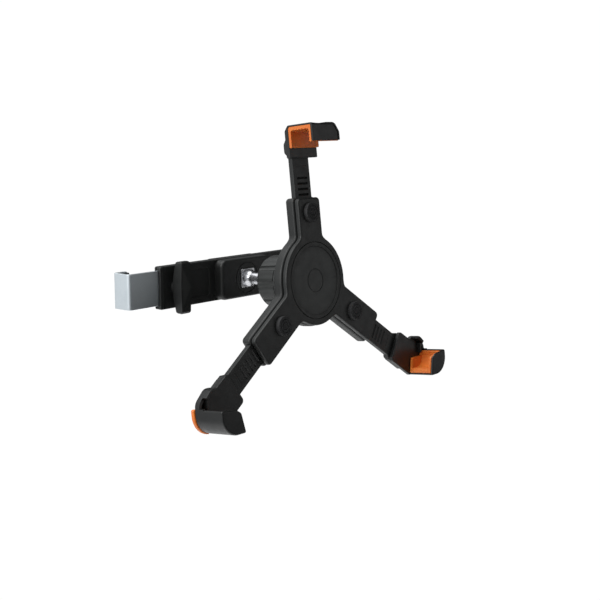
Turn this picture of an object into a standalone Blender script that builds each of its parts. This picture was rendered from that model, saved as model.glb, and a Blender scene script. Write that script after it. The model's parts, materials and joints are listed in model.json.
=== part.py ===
"""A tablet holder that hangs on a car headrest's two posts.

World frame, in metres: the origin is midway between the two posts at the middle of the bar's height,
+X runs along the bar, +Y points forwards through the posts and +Z is up. The holder faces -Y.

The holder has a frame of its own, the empty holder_frame. Its origin is the centre of the ball joint,
its +Z runs up the tablet and its -Y points out of the tablet's screen. Every size below is in millimetres.
"""

import math

import bmesh
import bpy
from mathutils import Matrix

MM = 0.001
GAP = 0.3  # between pieces that touch on the real object

# Bar: a flat two-part sleeve, with a block in the middle that carries the ball stud.
BAR_HALF_LENGTH = 82.0
BAR_HALF_HEIGHT = 15.4
SLEEVE_FRONT_Y = -10.7
SLEEVE_BACK_Y = -4.5
SPLIT_Y = -6.25
BLOCK_HALF_LENGTH = 27.0
BLOCK_FRONT_Y = -18.0
BLOCK_BACK_Y = 1.5
BAR_SCREW_X = 19.0
BAR_SCREW_Z = 9.5

# Hooks: flat strips bent round the posts.
STRIP_THICKNESS = 2.0
STRIP_HALF_HEIGHT = 12.6
STRIP_FRONT_Y = -8.5
HOOK_OUTER_X = 109.2
HOOK_INNER_X = 52.0
HOOK_DEPTH = 17.0
HOOK_RETURN = 12.5
HOOK_LINER = 1.0

# Wing knobs, each on a screw that presses on its strip.
KNOB_X = 67.0
KNOB_FRONT_Y = -21.2
KNOB_BACK_Y = -12.6
KNOB_WING_BACK_Y = -15.0
KNOB_HALF_SPAN = 19.2
KNOB_HALF_WIDTH = 5.0
KNOB_END_HALF_WIDTH = 4.2
KNOB_SCREW_RADIUS = 2.3
KNOB_INSERT_Y = -18.5
CLAMP_BOSS_RADIUS = 5.2
CLAMP_BOSS_Y = -12.3
CLAMP_NUT_RADIUS = 3.8

# Ball joint. Every surface of it is a sphere about the ball's centre.
BALL_Y = -52.0
LEAN_DEGREES = 6.75  # the tablet's top leans away from the viewer
BALL_RADIUS = 10.0
STEM_RADIUS = 4.5
SEAT_INNER = BALL_RADIUS + GAP
SEAT_OUTER = 11.9
SOCKET_RADIUS = SEAT_OUTER + GAP
SOCKET_OUTER_RADIUS = 15.4
SOCKET_END_Y = 1.0
COLLAR_RADIUS = 19.5
COLLAR_MOUTH_DEGREES = 62.0
STUD_SHANK_RADIUS = 3.0
STUD_FLANGE_HALF = 7.0

# Hub. Depths are along the holder's Y.
PAD_FRONT_Y = -36.9
COVER_FRONT_Y = -33.9
COVER_BACK_Y = -29.8
HUB_FRONT_Y = -29.5
ARM_FRONT_Y = -29.2
ARM_BACK_Y = -25.2
CHANNEL_FLOOR_Y = ARM_BACK_Y + GAP
HUB_BACK_Y = -21.9
HUB_RADIUS = 33.0
HUB_SCREW_RADIUS_AT = 25.0
SLEEVE_HALF_WIDTH = 12.6
PAD_AT = 49.0
PAD_RADIUS = 7.0
SPRING_AT = 50.0

# Arms: the angle of each one is from the holder's +Z, and radii are from the ball's centre.
BLADE_HALF_WIDTH = 9.0
ARM_END_HALF_WIDTH = 11.5
LOWER_ARM_DEGREES = 124.0
TOP_MOUTH, TOP_TAIL, TOP_SHOULDER, TOP_REACH = 60.0, 36.0, 88.5, 102.0
LOWER_MOUTH, LOWER_TAIL, LOWER_SHOULDER, LOWER_REACH = 78.0, 38.0, 108.0, 131.0
NOTCH_PITCH = 4.0
NOTCH_DEPTH = 0.8
ARM_BOSS_Y = -22.6
CLAW_SCREW_X = 6.0

# Claws: a thin hard shell over a thick soft liner.
SHELL = 1.2
CLAW_PLATE_FRONT_Y = -32.7
CLAW_PLATE_BACK_Y = -29.5
TOP_CLAW_HALF_WIDTH = 15.0
TOP_CLAW_TOP_Z = 111.1
TOP_CLAW_LIP_Z = 98.2
TOP_CLAW_LIP_Y = -54.7
TOP_CLAW_FOOT_Z = 88.0
TOP_CLAW_BEVEL = 5.0  # of the corner on its right
TOP_CLAW_BEVEL_DROP = 7.0
TOP_LINER_WALL = 2.6
LIP_LINER = 1.8
CORNER_X = 127.8
CORNER_Z = -87.4
CORNER_RADIUS = 13.4
CLAW_INNER_X = 107.0
CLAW_OPEN_Z = -69.5
CORNER_LIP_Y = -54.0
CORNER_RIM_BACK_Y = -26.2
CORNER_LINER_WALL = 3.9
LINER_RECESS = 0.9  # below the open end of the side wall
SHOULDER_RIB_Y = -37.0
RIM_END_X = 116.8
TONGUES = (((118.0, -84.8), (121.0, -82.8)), ((124.1, -77.3), (125.8, -72.3)))
LINER_BACK_FRONT_Y = -35.0
LINER_BACK_Y = CLAW_PLATE_FRONT_Y - GAP

ROUND_STEPS = 24
SMALL_ROUND_STEPS = 12


# Finishes


def finish(name, colour, roughness, metallic=0.0):
    material = bpy.data.materials.new(name)
    material.use_nodes = True
    shader = material.node_tree.nodes["Principled BSDF"]
    shader.inputs["Base Color"].default_value = (*colour, 1.0)
    shader.inputs["Roughness"].default_value = roughness
    shader.inputs["Metallic"].default_value = metallic
    return material


# Outlines


def rounded(corners, steps=3):
    """The closed outline through corners (across, up, radius), with an arc of each radius at its corner."""
    points = []
    for i, (x, y, radius) in enumerate(corners):
        if not radius:
            points.append((x, y))
            continue
        before = corners[i - 1]
        after = corners[(i + 1) % len(corners)]
        start = math.atan2(before[1] - y, before[0] - x)
        end = math.atan2(after[1] - y, after[0] - x)
        opening = (end - start + math.pi) % (2 * math.pi) - math.pi
        middle = start + opening / 2
        reach = radius / math.sin(abs(opening) / 2)
        centre = (x + reach * math.cos(middle), y + reach * math.sin(middle))
        turn = (math.pi - abs(opening)) / 2 * math.copysign(1, opening)
        for step in range(steps + 1):
            angle = middle + math.pi + turn - 2 * turn * step / steps
            points.append((centre[0] + radius * math.cos(angle), centre[1] + radius * math.sin(angle)))
    return points


def rectangle(half_width, half_height, radius=0.0, steps=3):
    corners = [(-1, -1), (1, -1), (1, 1), (-1, 1)]
    return rounded([(half_width * x, half_height * y, radius) for x, y in corners], steps)


def circle(radius, steps=SMALL_ROUND_STEPS, centre=(0.0, 0.0)):
    points = []
    for step in range(steps):
        angle = 2 * math.pi * step / steps
        points.append((centre[0] + radius * math.cos(angle), centre[1] + radius * math.sin(angle)))
    return points


def arc(radius, start_degrees, end_degrees, steps):
    """Points (radius from the axis, height) on a sphere, by their angle from the axis's high end."""
    points = []
    for step in range(steps + 1):
        angle = math.radians(start_degrees + (end_degrees - start_degrees) * step / steps)
        points.append((radius * math.sin(angle), radius * math.cos(angle)))
    return points


def mirrored(outline, side):
    return [(side * x, y) for x, y in outline]


# Solids


def place(name, bm, material, parent, location, smooth_degrees):
    bmesh.ops.recalc_face_normals(bm, faces=bm.faces)
    mesh = bpy.data.meshes.new(name)
    bm.to_mesh(mesh)
    bm.free()
    mesh.shade_smooth()
    mesh.set_sharp_from_angle(angle=math.radians(smooth_degrees))
    piece = bpy.data.objects.new(name, mesh)
    bpy.context.scene.collection.objects.link(piece)
    piece.location = [MM * value for value in location]
    piece.parent = parent
    if material:
        mesh.materials.append(material)
    return piece


def prism(name, outline, axis, low, high, material=None, parent=None, location=(0, 0, 0), smooth_degrees=35):
    """A solid that keeps one outline along an axis, from low to high on it."""
    lift = {
        "X": lambda across, up, along: (along, across, up),
        "Y": lambda across, up, along: (across, along, up),
        "Z": lambda across, up, along: (across, up, along),
    }[axis]
    bm = bmesh.new()
    base = bm.faces.new([bm.verts.new([MM * v for v in lift(x, y, low)]) for x, y in outline])
    grown = bmesh.ops.extrude_face_region(bm, geom=[base])
    moved = [item for item in grown["geom"] if isinstance(item, bmesh.types.BMVert)]
    bmesh.ops.translate(bm, verts=moved, vec=[MM * v for v in lift(0, 0, high - low)])
    return place(name, bm, material, parent, location, smooth_degrees)


def turned(name, profile, material=None, parent=None, location=(0, 0, 0), steps=ROUND_STEPS):
    """A solid turned about its Y axis from points (radius, Y). A profile that leaves the axis ends on it."""
    bm = bmesh.new()
    verts = [bm.verts.new((MM * radius, MM * y, 0)) for radius, y in profile]
    edges = [bm.edges.new(pair) for pair in zip(verts, verts[1:])]
    if profile[0][0] > 0:
        edges.append(bm.edges.new((verts[-1], verts[0])))
    bmesh.ops.spin(
        bm, geom=verts + edges, axis=(0, 1, 0), cent=(0, 0, 0), angle=2 * math.pi, steps=steps, use_merge=True
    )
    bmesh.ops.remove_doubles(bm, verts=bm.verts, dist=1e-7)
    return place(name, bm, material, parent, location, 40)


def block(name, low, high, parent=None, location=(0, 0, 0)):
    """A plain box between two corners, used as a cutter."""
    outline = [(low[0], low[2]), (high[0], low[2]), (high[0], high[2]), (low[0], high[2])]
    return prism(name, outline, "Y", low[1], high[1], parent=parent, location=location)


def softened(piece, width):
    """Cuts the piece's sharp edges off by so many millimetres."""
    bevel = piece.modifiers.new("soft_edges", "BEVEL")
    bevel.width = MM * width
    bevel.segments = 1
    bevel.limit_method = "ANGLE"
    bevel.angle_limit = math.radians(50)
    bevel.harden_normals = False
    return piece


def combine(body, tools, operation):
    for tool in tools:
        boolean = body.modifiers.new(tool.name, "BOOLEAN")
        boolean.object = tool
        boolean.operation = operation
        boolean.solver = "EXACT"
        tool.hide_render = True
        tool.display_type = "WIRE"
    return body


def cut(body, *tools):
    return combine(body, tools, "DIFFERENCE")


def join(body, *tools):
    return combine(body, tools, "UNION")


def turn_about_y(piece, degrees):
    piece.rotation_euler = (0, math.radians(degrees), 0)
    return piece


# Fasteners. Each one's axis is Y, with its head towards +Y.


def screw(name, head_radius, head_y, shank_radius, tip_y, at, material, parent=None):
    """A pan-head screw with a cross recess. The underside of its head is 1.5 mm before head_y."""
    under = head_y - 1.5
    profile = [
        (0, tip_y),
        (shank_radius * 0.6, tip_y),
        (shank_radius, tip_y + 0.8),
        (shank_radius, under),
        (head_radius, under),
        (head_radius, head_y - 0.6),
        (head_radius * 0.75, head_y),
        (0, head_y),
    ]
    piece = turned(name, profile, material, parent, (at[0], 0, at[1]), SMALL_ROUND_STEPS)
    slot, arm = 0.35, head_radius * 0.55
    for label, half_x, half_z in (("across", arm, slot), ("upright", slot, arm)):
        recess = block(
            f"{name}_recess_{label}",
            (-half_x, head_y - 0.8, -half_z),
            (half_x, head_y + 1, half_z),
            parent,
            (at[0], 0, at[1]),
        )
        cut(piece, recess)
    return piece


def hex_nut(name, corner_radius, hole_radius, low, high, at, material, parent=None):
    piece = prism(name, circle(corner_radius, 6), "Y", low, high, material, parent, (at[0], 0, at[1]))
    bore = prism(f"{name}_bore", circle(hole_radius), "Y", low - 1, high + 1, None, parent, (at[0], 0, at[1]))
    return cut(piece, bore)


# Bar


def bar_hole(name, radius, low, high, at, steps=SMALL_ROUND_STEPS):
    return prism(name, circle(radius, steps), "Y", low, high, location=(at[0], 0, at[1]))


def bar_screw_places():
    return [(x, z) for x in (-BAR_SCREW_X, BAR_SCREW_X) for z in (-BAR_SCREW_Z, BAR_SCREW_Z)]


def build_bar(plastic, steel, brass):
    sleeve_outline = rectangle(BAR_HALF_LENGTH, BAR_HALF_HEIGHT, 2.5)
    front = softened(
        prism("bar_front_shell", sleeve_outline, "Y", SLEEVE_FRONT_Y, SPLIT_Y - GAP / 2, plastic), 0.5
    )
    block_outline = rectangle(BLOCK_HALF_LENGTH, BAR_HALF_HEIGHT - 0.5, 5.0)
    front_block = softened(
        prism("bar_front_block", block_outline, "Y", BLOCK_FRONT_Y, SPLIT_Y - GAP / 2), 1.5
    )
    join(front, front_block)
    strip_room = STRIP_HALF_HEIGHT + GAP
    for side, label in ((-1, "left"), (1, "right")):
        near, far = sorted((side * (BLOCK_HALF_LENGTH - 1), side * (BAR_HALF_LENGTH + 5)))
        channel = block(
            f"bar_channel_{label}", (near, STRIP_FRONT_Y - GAP, -strip_room), (far, 0, strip_room)
        )
        boss = prism(
            f"bar_clamp_boss_{label}", circle(CLAMP_BOSS_RADIUS, 24), "Y", CLAMP_BOSS_Y, STRIP_FRONT_Y - 1,
            location=(side * KNOB_X, 0, 0),
        )
        at = (side * KNOB_X, 0)
        nut_room = bar_hole(f"bar_nut_room_{label}", CLAMP_NUT_RADIUS + GAP, CLAMP_BOSS_Y + 0.9, 0, at, 6)
        screw_way = bar_hole(f"bar_clamp_hole_{label}", KNOB_SCREW_RADIUS + GAP, -16, 0, at)
        join(front, boss)
        cut(front, channel, nut_room, screw_way)
        nut_low = CLAMP_BOSS_Y + 0.9 + GAP
        hex_nut(
            f"{label}_clamp_nut", CLAMP_NUT_RADIUS, KNOB_SCREW_RADIUS + GAP, nut_low, STRIP_FRONT_Y - 2 * GAP,
            at, brass,
        )

    back = softened(
        prism("bar_rear_shell", sleeve_outline, "Y", SPLIT_Y + GAP / 2, SLEEVE_BACK_Y, plastic), 0.5
    )
    back_block = softened(prism("bar_rear_block", block_outline, "Y", SPLIT_Y + GAP / 2, BLOCK_BACK_Y), 1.5)
    join(back, back_block)

    stud_hole = STUD_SHANK_RADIUS + GAP
    cut(front, bar_hole("stud_way_front", stud_hole, -30, 5, (0, 0)))
    flange_room = prism(
        "stud_flange_room", rectangle(STUD_FLANGE_HALF + GAP, STUD_FLANGE_HALF + GAP), "Y",
        BLOCK_FRONT_Y - 1, BLOCK_FRONT_Y + 1.5,
    )
    cut(front, flange_room)
    cut(back, bar_hole("stud_way_back", stud_hole, -30, 5, (0, 0)))
    cut(back, bar_hole("stud_nut_room", 6.8, -3.9, 5, (0, 0), 24))
    hex_nut("stud_nut", 5.7, stud_hole, -3.6, 0.6, (0, 0), steel)

    for number, at in enumerate(bar_screw_places(), 1):
        cut(front, bar_hole(f"bar_screw_hole_{number}", 1.5, -15, 5, at))
        cut(back, bar_hole(f"bar_screw_way_{number}", 1.7, -30, 5, at))
        cut(back, bar_hole(f"bar_screw_sink_{number}", 3.0, -1.5, 5, at))
        screw(f"bar_screw_{number}", 2.7, 0.6, 1.2, -14, at, steel)


# Hooks


def build_hook(side, label, aluminium, rubber):
    """A strip bent round its post, and a soft L inside the bend."""
    front, back = STRIP_FRONT_Y, STRIP_FRONT_Y + HOOK_DEPTH
    tip = HOOK_OUTER_X - HOOK_RETURN
    outer_bend, inner_bend = 2.6, 0.6
    strip_corners = [
        (HOOK_INNER_X, front, 0),
        (HOOK_OUTER_X, front, outer_bend),
        (HOOK_OUTER_X, back, outer_bend),
        (tip, back, 0.7),
        (tip, back - STRIP_THICKNESS, 0.7),
        (HOOK_OUTER_X - STRIP_THICKNESS, back - STRIP_THICKNESS, inner_bend),
        (HOOK_OUTER_X - STRIP_THICKNESS, front + STRIP_THICKNESS, inner_bend),
        (HOOK_INNER_X, front + STRIP_THICKNESS, 0),
    ]
    strip = prism(
        f"{label}_hook", mirrored(rounded(strip_corners, 4), side), "Z", -STRIP_HALF_HEIGHT,
        STRIP_HALF_HEIGHT, aluminium,
    )
    softened(strip, 0.25)
    outside = STRIP_THICKNESS + GAP
    inside = outside + HOOK_LINER
    liner_corners = [
        (HOOK_OUTER_X - outside, front + outside, 0.4),
        (HOOK_OUTER_X - outside, back - outside, inner_bend),
        (tip, back - outside, 0.4),
        (tip, back - inside, 0.4),
        (HOOK_OUTER_X - inside, back - inside, inner_bend),
        (HOOK_OUTER_X - inside, front + outside, 0.4),
    ]
    liner_half = STRIP_HALF_HEIGHT - 1
    prism(
        f"{label}_hook_liner", mirrored(rounded(liner_corners), side), "Z", -liner_half, liner_half, rubber
    )


# Wing knobs


def build_knob(side, label, plastic, steel):
    """A bar that is deepest in its middle, on a screw. Its origin is on the axis that it turns about."""
    at = (side * KNOB_X, 0, 0)
    side_view = rounded(
        [
            (KNOB_FRONT_Y, -KNOB_HALF_SPAN, 1.5),
            (KNOB_FRONT_Y, KNOB_HALF_SPAN, 1.5),
            (KNOB_WING_BACK_Y, KNOB_HALF_SPAN - 0.5, 1.5),
            (KNOB_BACK_Y, 7.0, 3.0),
            (KNOB_BACK_Y, -7.0, 3.0),
            (KNOB_WING_BACK_Y, -KNOB_HALF_SPAN + 0.5, 1.5),
        ]
    )
    knob = prism(
        f"{label}_knob", side_view, "X", -KNOB_HALF_WIDTH - 1, KNOB_HALF_WIDTH + 1, plastic, None, at
    )
    front_view = rounded(
        [
            (-KNOB_END_HALF_WIDTH, -KNOB_HALF_SPAN, 2.5),
            (KNOB_END_HALF_WIDTH, -KNOB_HALF_SPAN, 2.5),
            (KNOB_HALF_WIDTH, 0, 12.0),
            (KNOB_END_HALF_WIDTH, KNOB_HALF_SPAN, 2.5),
            (-KNOB_END_HALF_WIDTH, KNOB_HALF_SPAN, 2.5),
            (-KNOB_HALF_WIDTH, 0, 12.0),
        ]
    )
    combine(knob, [prism(f"{label}_knob_front_view", front_view, "Y", -40, 0, location=at)], "INTERSECT")
    softened(knob, 0.8)
    way = KNOB_SCREW_RADIUS + GAP
    cut(knob, prism(f"{label}_knob_bore", circle(way), "Y", KNOB_INSERT_Y, 0, location=at))
    tip_y = STRIP_FRONT_Y - GAP
    screw_profile = [
        (0, KNOB_INSERT_Y + GAP),
        (KNOB_SCREW_RADIUS, KNOB_INSERT_Y + GAP),
        (KNOB_SCREW_RADIUS, tip_y - 0.8),
        (KNOB_SCREW_RADIUS * 0.65, tip_y),
        (0, tip_y),
    ]
    turned(f"{label}_knob_screw", screw_profile, steel, None, at, SMALL_ROUND_STEPS)


# Ball joint


def build_ball_stud(steel):
    """The fixed ball, its stem, a square flange let into the block, and a threaded end for the nut."""
    neck = math.degrees(math.asin(STEM_RADIUS / BALL_RADIUS))
    flange_y = BLOCK_FRONT_Y + 1.5 - GAP
    profile = [(radius, BALL_Y + y) for radius, y in arc(BALL_RADIUS, 180, neck, 10)]
    profile[0] = (0, BALL_Y - BALL_RADIUS)
    profile += [
        (STEM_RADIUS, -24.0),
        (STEM_RADIUS + 1.5, -21.5),
        (STEM_RADIUS + 1.5, flange_y - 1),
        (STUD_SHANK_RADIUS, flange_y - 1),
        (STUD_SHANK_RADIUS, 0.4),
        (STUD_SHANK_RADIUS - 0.6, 1.0),
        (0, 1.0),
    ]
    stud = turned("ball_stud", profile, steel)
    flange = softened(
        prism(
            "stud_flange", rectangle(STUD_FLANGE_HALF, STUD_FLANGE_HALF), "Y", BLOCK_FRONT_Y - 1.5, flange_y
        ),
        0.6,
    )
    join(stud, flange)


def build_ball_seats(holder, nylon):
    """Two seats between the ball and its socket: a small cap in front of the ball and a ring round it."""
    cap = arc(SEAT_OUTER, 180, 155, 3) + arc(SEAT_INNER, 155, 180, 3)
    cap[0] = (0, -SEAT_OUTER)
    cap[-1] = (0, -SEAT_INNER)
    turned("ball_pressure_cap", cap, nylon, holder)
    ring = arc(SEAT_OUTER, 68, 108, 4) + arc(SEAT_INNER, 108, 68, 4)
    turned("ball_seat_ring", ring, nylon, holder)


def build_collar(holder, plastic):
    """The threaded ring that closes the socket over the ball. Ten flutes give it grip."""
    inner = SOCKET_OUTER_RADIUS + GAP
    mouth = arc(SOCKET_RADIUS, 80, COLLAR_MOUTH_DEGREES, 2)
    outside_angle = math.radians(COLLAR_MOUTH_DEGREES - 6)
    lip = SOCKET_RADIUS + 2.6
    profile = [
        (inner, -13.0),
        (inner, SOCKET_END_Y + GAP),
        (mouth[0][0], SOCKET_END_Y + GAP),
        *mouth,
        (lip * math.sin(outside_angle), lip * math.cos(outside_angle)),
        (COLLAR_RADIUS - 3.0, 8.4),
        (COLLAR_RADIUS, 5.2),
        (COLLAR_RADIUS, -11.5),
        (COLLAR_RADIUS - 1.5, -13.0),
    ]
    collar = turned("socket_collar", profile, plastic, holder, steps=30)
    flutes = 10
    for number in range(flutes):
        angle = 360 / flutes * number
        centre = (COLLAR_RADIUS + 1.4, 0)
        flute = prism(f"collar_flute_{number}", circle(2.6, 10, centre), "Y", -20, 20, parent=holder)
        cut(collar, turn_about_y(flute, angle))


# Hub

ARMS = (
    ("top", 0.0, TOP_MOUTH),
    ("right", LOWER_ARM_DEGREES, LOWER_MOUTH),
    ("left", -LOWER_ARM_DEGREES, LOWER_MOUTH),
)
HUB_SCREW_DEGREES = (LOWER_ARM_DEGREES / 2, 180.0, -LOWER_ARM_DEGREES / 2)


def polar(radius, degrees):
    """The (x, z) of a point at a radius from the ball's centre and an angle from the holder's +Z."""
    return radius * math.sin(math.radians(degrees)), radius * math.cos(math.radians(degrees))


def turned_point(across, out, degrees):
    """The (x, z) of a point beside and along an arm at an angle from the holder's +Z."""
    angle = math.radians(degrees)
    return (
        across * math.cos(angle) + out * math.sin(angle),
        out * math.cos(angle) - across * math.sin(angle),
    )


def star_outline(half_width, radius, trim):
    """A disc with a straight leg towards each arm: the outline that the hub's two halves share."""
    base = math.sqrt(radius**2 - half_width**2)
    spread = math.degrees(math.asin(half_width / radius))
    steps = 6
    corners = []
    for number, (_, degrees, mouth) in enumerate(ARMS):
        end = mouth - trim
        for across, out, corner_radius in (
            (-half_width, base, 0),
            (-half_width, end, 3.0),
            (half_width, end, 3.0),
            (half_width, base, 0),
        ):
            corners.append((*turned_point(across, out, degrees), corner_radius))
        following = ARMS[(number + 1) % len(ARMS)][1]
        sweep = (following - degrees) % 360 - 2 * spread
        for step in range(1, steps):
            corners.append((*polar(radius, degrees + spread + sweep * step / steps), 0))
    return rounded(corners)


def build_hub(holder, plastic, rubber, steel):
    outline = star_outline(SLEEVE_HALF_WIDTH, HUB_RADIUS, 0)
    back = softened(prism("hub_rear_shell", outline, "Y", HUB_FRONT_Y, HUB_BACK_Y, plastic, holder), 1.4)
    spigot_profile = [
        (0, HUB_BACK_Y - 1),
        (SOCKET_OUTER_RADIUS + 5.5, HUB_BACK_Y - 1),
        (SOCKET_OUTER_RADIUS + 5.5, HUB_BACK_Y + 1.5),
        (SOCKET_OUTER_RADIUS + 1.5, HUB_BACK_Y + 6.5),
        (SOCKET_OUTER_RADIUS, HUB_BACK_Y + 8.0),
        (SOCKET_OUTER_RADIUS, SOCKET_END_Y),
        (0, SOCKET_END_Y),
    ]
    join(back, turned("hub_socket", spigot_profile, parent=holder, steps=30))
    cavity = arc(SOCKET_RADIUS, 180, 88, 8)
    cavity[0] = (0, -SOCKET_RADIUS)
    cavity += [(SOCKET_RADIUS, 5), (0, 5)]
    cut(back, turned("hub_socket_cavity", cavity, parent=holder))

    outline = star_outline(SLEEVE_HALF_WIDTH - 0.6, HUB_RADIUS - 0.6, 0.6)
    front = prism("hub_front_cover", outline, "Y", COVER_FRONT_Y, COVER_BACK_Y, plastic, holder)
    softened(front, 1.0)
    blade_room = BLADE_HALF_WIDTH + GAP
    for label, degrees, mouth in ARMS:
        channel = block(
            f"hub_channel_{label}", (-blade_room, HUB_FRONT_Y - 3, -2),
            (blade_room, CHANNEL_FLOOR_Y, mouth + 9),
            holder,
        )
        cut(back, turn_about_y(channel, degrees))
        pocket = block(
            f"spring_pocket_{label}", (-4.2, COVER_BACK_Y - 2.6, SPRING_AT - 8.5),
            (4.2, COVER_BACK_Y + 1, SPRING_AT + 8.5), holder,
        )
        seat_centre = (0, PAD_AT)
        seat = prism(
            f"pad_seat_{label}", circle(PAD_RADIUS + GAP, 24, seat_centre), "Y", COVER_FRONT_Y - 1,
            COVER_FRONT_Y + 0.7, parent=holder,
        )
        cut(front, turn_about_y(pocket, degrees), turn_about_y(seat, degrees))
        pad = prism(
            f"{label}_back_pad", circle(PAD_RADIUS, 24, seat_centre), "Y", PAD_FRONT_Y, COVER_FRONT_Y + 0.4,
            rubber, holder,
        )
        turn_about_y(softened(pad, 0.5), degrees)
        turn_about_y(build_detent_spring(label, holder, steel), degrees)

    for number, degrees in enumerate(HUB_SCREW_DEGREES, 1):
        x, z = polar(HUB_SCREW_RADIUS_AT, degrees)
        place_at = (x, 0, z)
        cut(
            back,
            prism(f"hub_screw_way_{number}", circle(1.7), "Y", -40, 0, None, holder, place_at),
            prism(f"hub_screw_sink_{number}", circle(3.1), "Y", -24.3, -10, None, holder, place_at),
        )
        cut(front, prism(f"hub_screw_hole_{number}", circle(1.5), "Y", -32.5, 0, None, holder, place_at))
        screw(f"hub_screw_{number}", 2.7, -22.4, 1.2, -32.2, (x, z), steel, holder)


def build_detent_spring(label, holder, steel):
    """A bowed leaf that clicks into the notches on the arm."""
    half_length, thickness, steps = 8.0, 0.5, 8
    ends_y = COVER_BACK_Y - 2.0
    rise = HUB_FRONT_Y - 0.1 - ends_y - thickness
    near = []
    for step in range(steps + 1):
        along = -half_length + 2 * half_length * step / steps
        near.append((ends_y + rise * math.cos(math.pi * along / 2 / half_length) ** 2, SPRING_AT + along))
    far = [(y + thickness, z) for y, z in reversed(near)]
    return prism(f"{label}_detent_spring", near + far, "X", -3.5, 3.5, steel, holder, smooth_degrees=50)


# Arms


def build_arm(label, degrees, tail, shoulder, reach, holder, plastic):
    """A notched blade with a wider end that the claw is screwed to. It points along its own +Z."""
    notched_from = tail + 5
    notches = int((shoulder - 8 - notched_from) // NOTCH_PITCH)
    side_view = [(ARM_BACK_Y, shoulder + 3), (ARM_BACK_Y, tail), (ARM_FRONT_Y, tail)]
    for number in range(notches):
        z = notched_from + number * NOTCH_PITCH
        side_view += [(ARM_FRONT_Y, z), (ARM_FRONT_Y + NOTCH_DEPTH, z + 0.9), (ARM_FRONT_Y, z + 1.8)]
    side_view.append((ARM_FRONT_Y, shoulder + 3))
    arm = prism(
        f"{label}_arm", side_view, "X", -BLADE_HALF_WIDTH, BLADE_HALF_WIDTH, plastic, holder,
        smooth_degrees=20,
    )
    end_outline = rounded(
        [
            (-BLADE_HALF_WIDTH, shoulder - 0.5, 0),
            (BLADE_HALF_WIDTH, shoulder - 0.5, 0),
            (ARM_END_HALF_WIDTH, shoulder + 3, 1.5),
            (ARM_END_HALF_WIDTH, reach, 3),
            (-ARM_END_HALF_WIDTH, reach, 3),
            (-ARM_END_HALF_WIDTH, shoulder + 3, 1.5),
        ],
        3,
    )
    end = prism(f"{label}_arm_end", end_outline, "Y", ARM_FRONT_Y, ARM_BACK_Y, parent=holder)
    boss_outline = rounded(
        [
            (-ARM_END_HALF_WIDTH + 1.5, shoulder + 2, 3),
            (ARM_END_HALF_WIDTH - 1.5, shoulder + 2, 3),
            (ARM_END_HALF_WIDTH - 1.5, reach - 1.5, 3),
            (-ARM_END_HALF_WIDTH + 1.5, reach - 1.5, 3),
        ],
        3,
    )
    boss = prism(f"{label}_arm_boss", boss_outline, "Y", ARM_BACK_Y - 1, ARM_BOSS_Y, parent=holder)
    softened(boss, 0.8)
    groove = prism(
        f"{label}_arm_groove",
        rounded([(-5, tail + 5, 2), (5, tail + 5, 2), (5, shoulder - 3, 2), (-5, shoulder - 3, 2)], 3),
        "Y", ARM_BACK_Y - 1.2, ARM_BACK_Y + 1, parent=holder,
    )
    for tool in (end, boss, groove):
        turn_about_y(tool, degrees)
    join(arm, end, boss)
    cut(arm, groove)
    screw_z = (shoulder + reach) / 2
    for number, x in enumerate((-CLAW_SCREW_X, CLAW_SCREW_X), 1):
        way = prism(f"{label}_arm_way_{number}", circle(1.5, centre=(x, screw_z)), "Y", -40, 0, parent=holder)
        sink = prism(
            f"{label}_arm_sink_{number}", circle(2.6, centre=(x, screw_z)), "Y", ARM_BOSS_Y - 1.8, 0,
            parent=holder,
        )
        cut(arm, turn_about_y(way, degrees), turn_about_y(sink, degrees))
    return turn_about_y(arm, degrees)


def claw_screw_places(degrees, shoulder, reach):
    """The (x, z) of an arm's two claw screws, in the holder's frame."""
    along_x, along_z = polar((shoulder + reach) / 2, degrees)
    across_x, across_z = polar(CLAW_SCREW_X, degrees + 90)
    return [(along_x + side * across_x, along_z + side * across_z) for side in (-1, 1)]


def fasten_claw(label, claw, degrees, shoulder, reach, holder, steel):
    for number, at in enumerate(claw_screw_places(degrees, shoulder, reach), 1):
        hole = prism(
            f"{label}_claw_hole_{number}", circle(1.3), "Y", CLAW_PLATE_FRONT_Y + 0.7, -20, None, holder,
            (at[0], 0, at[1]),
        )
        cut(claw, hole)
        screw(
            f"{label}_claw_screw_{number}", 2.3, ARM_BOSS_Y - 0.1, 1.0, CLAW_PLATE_FRONT_Y + 1.0, at, steel,
            holder,
        )


# Claws


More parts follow.
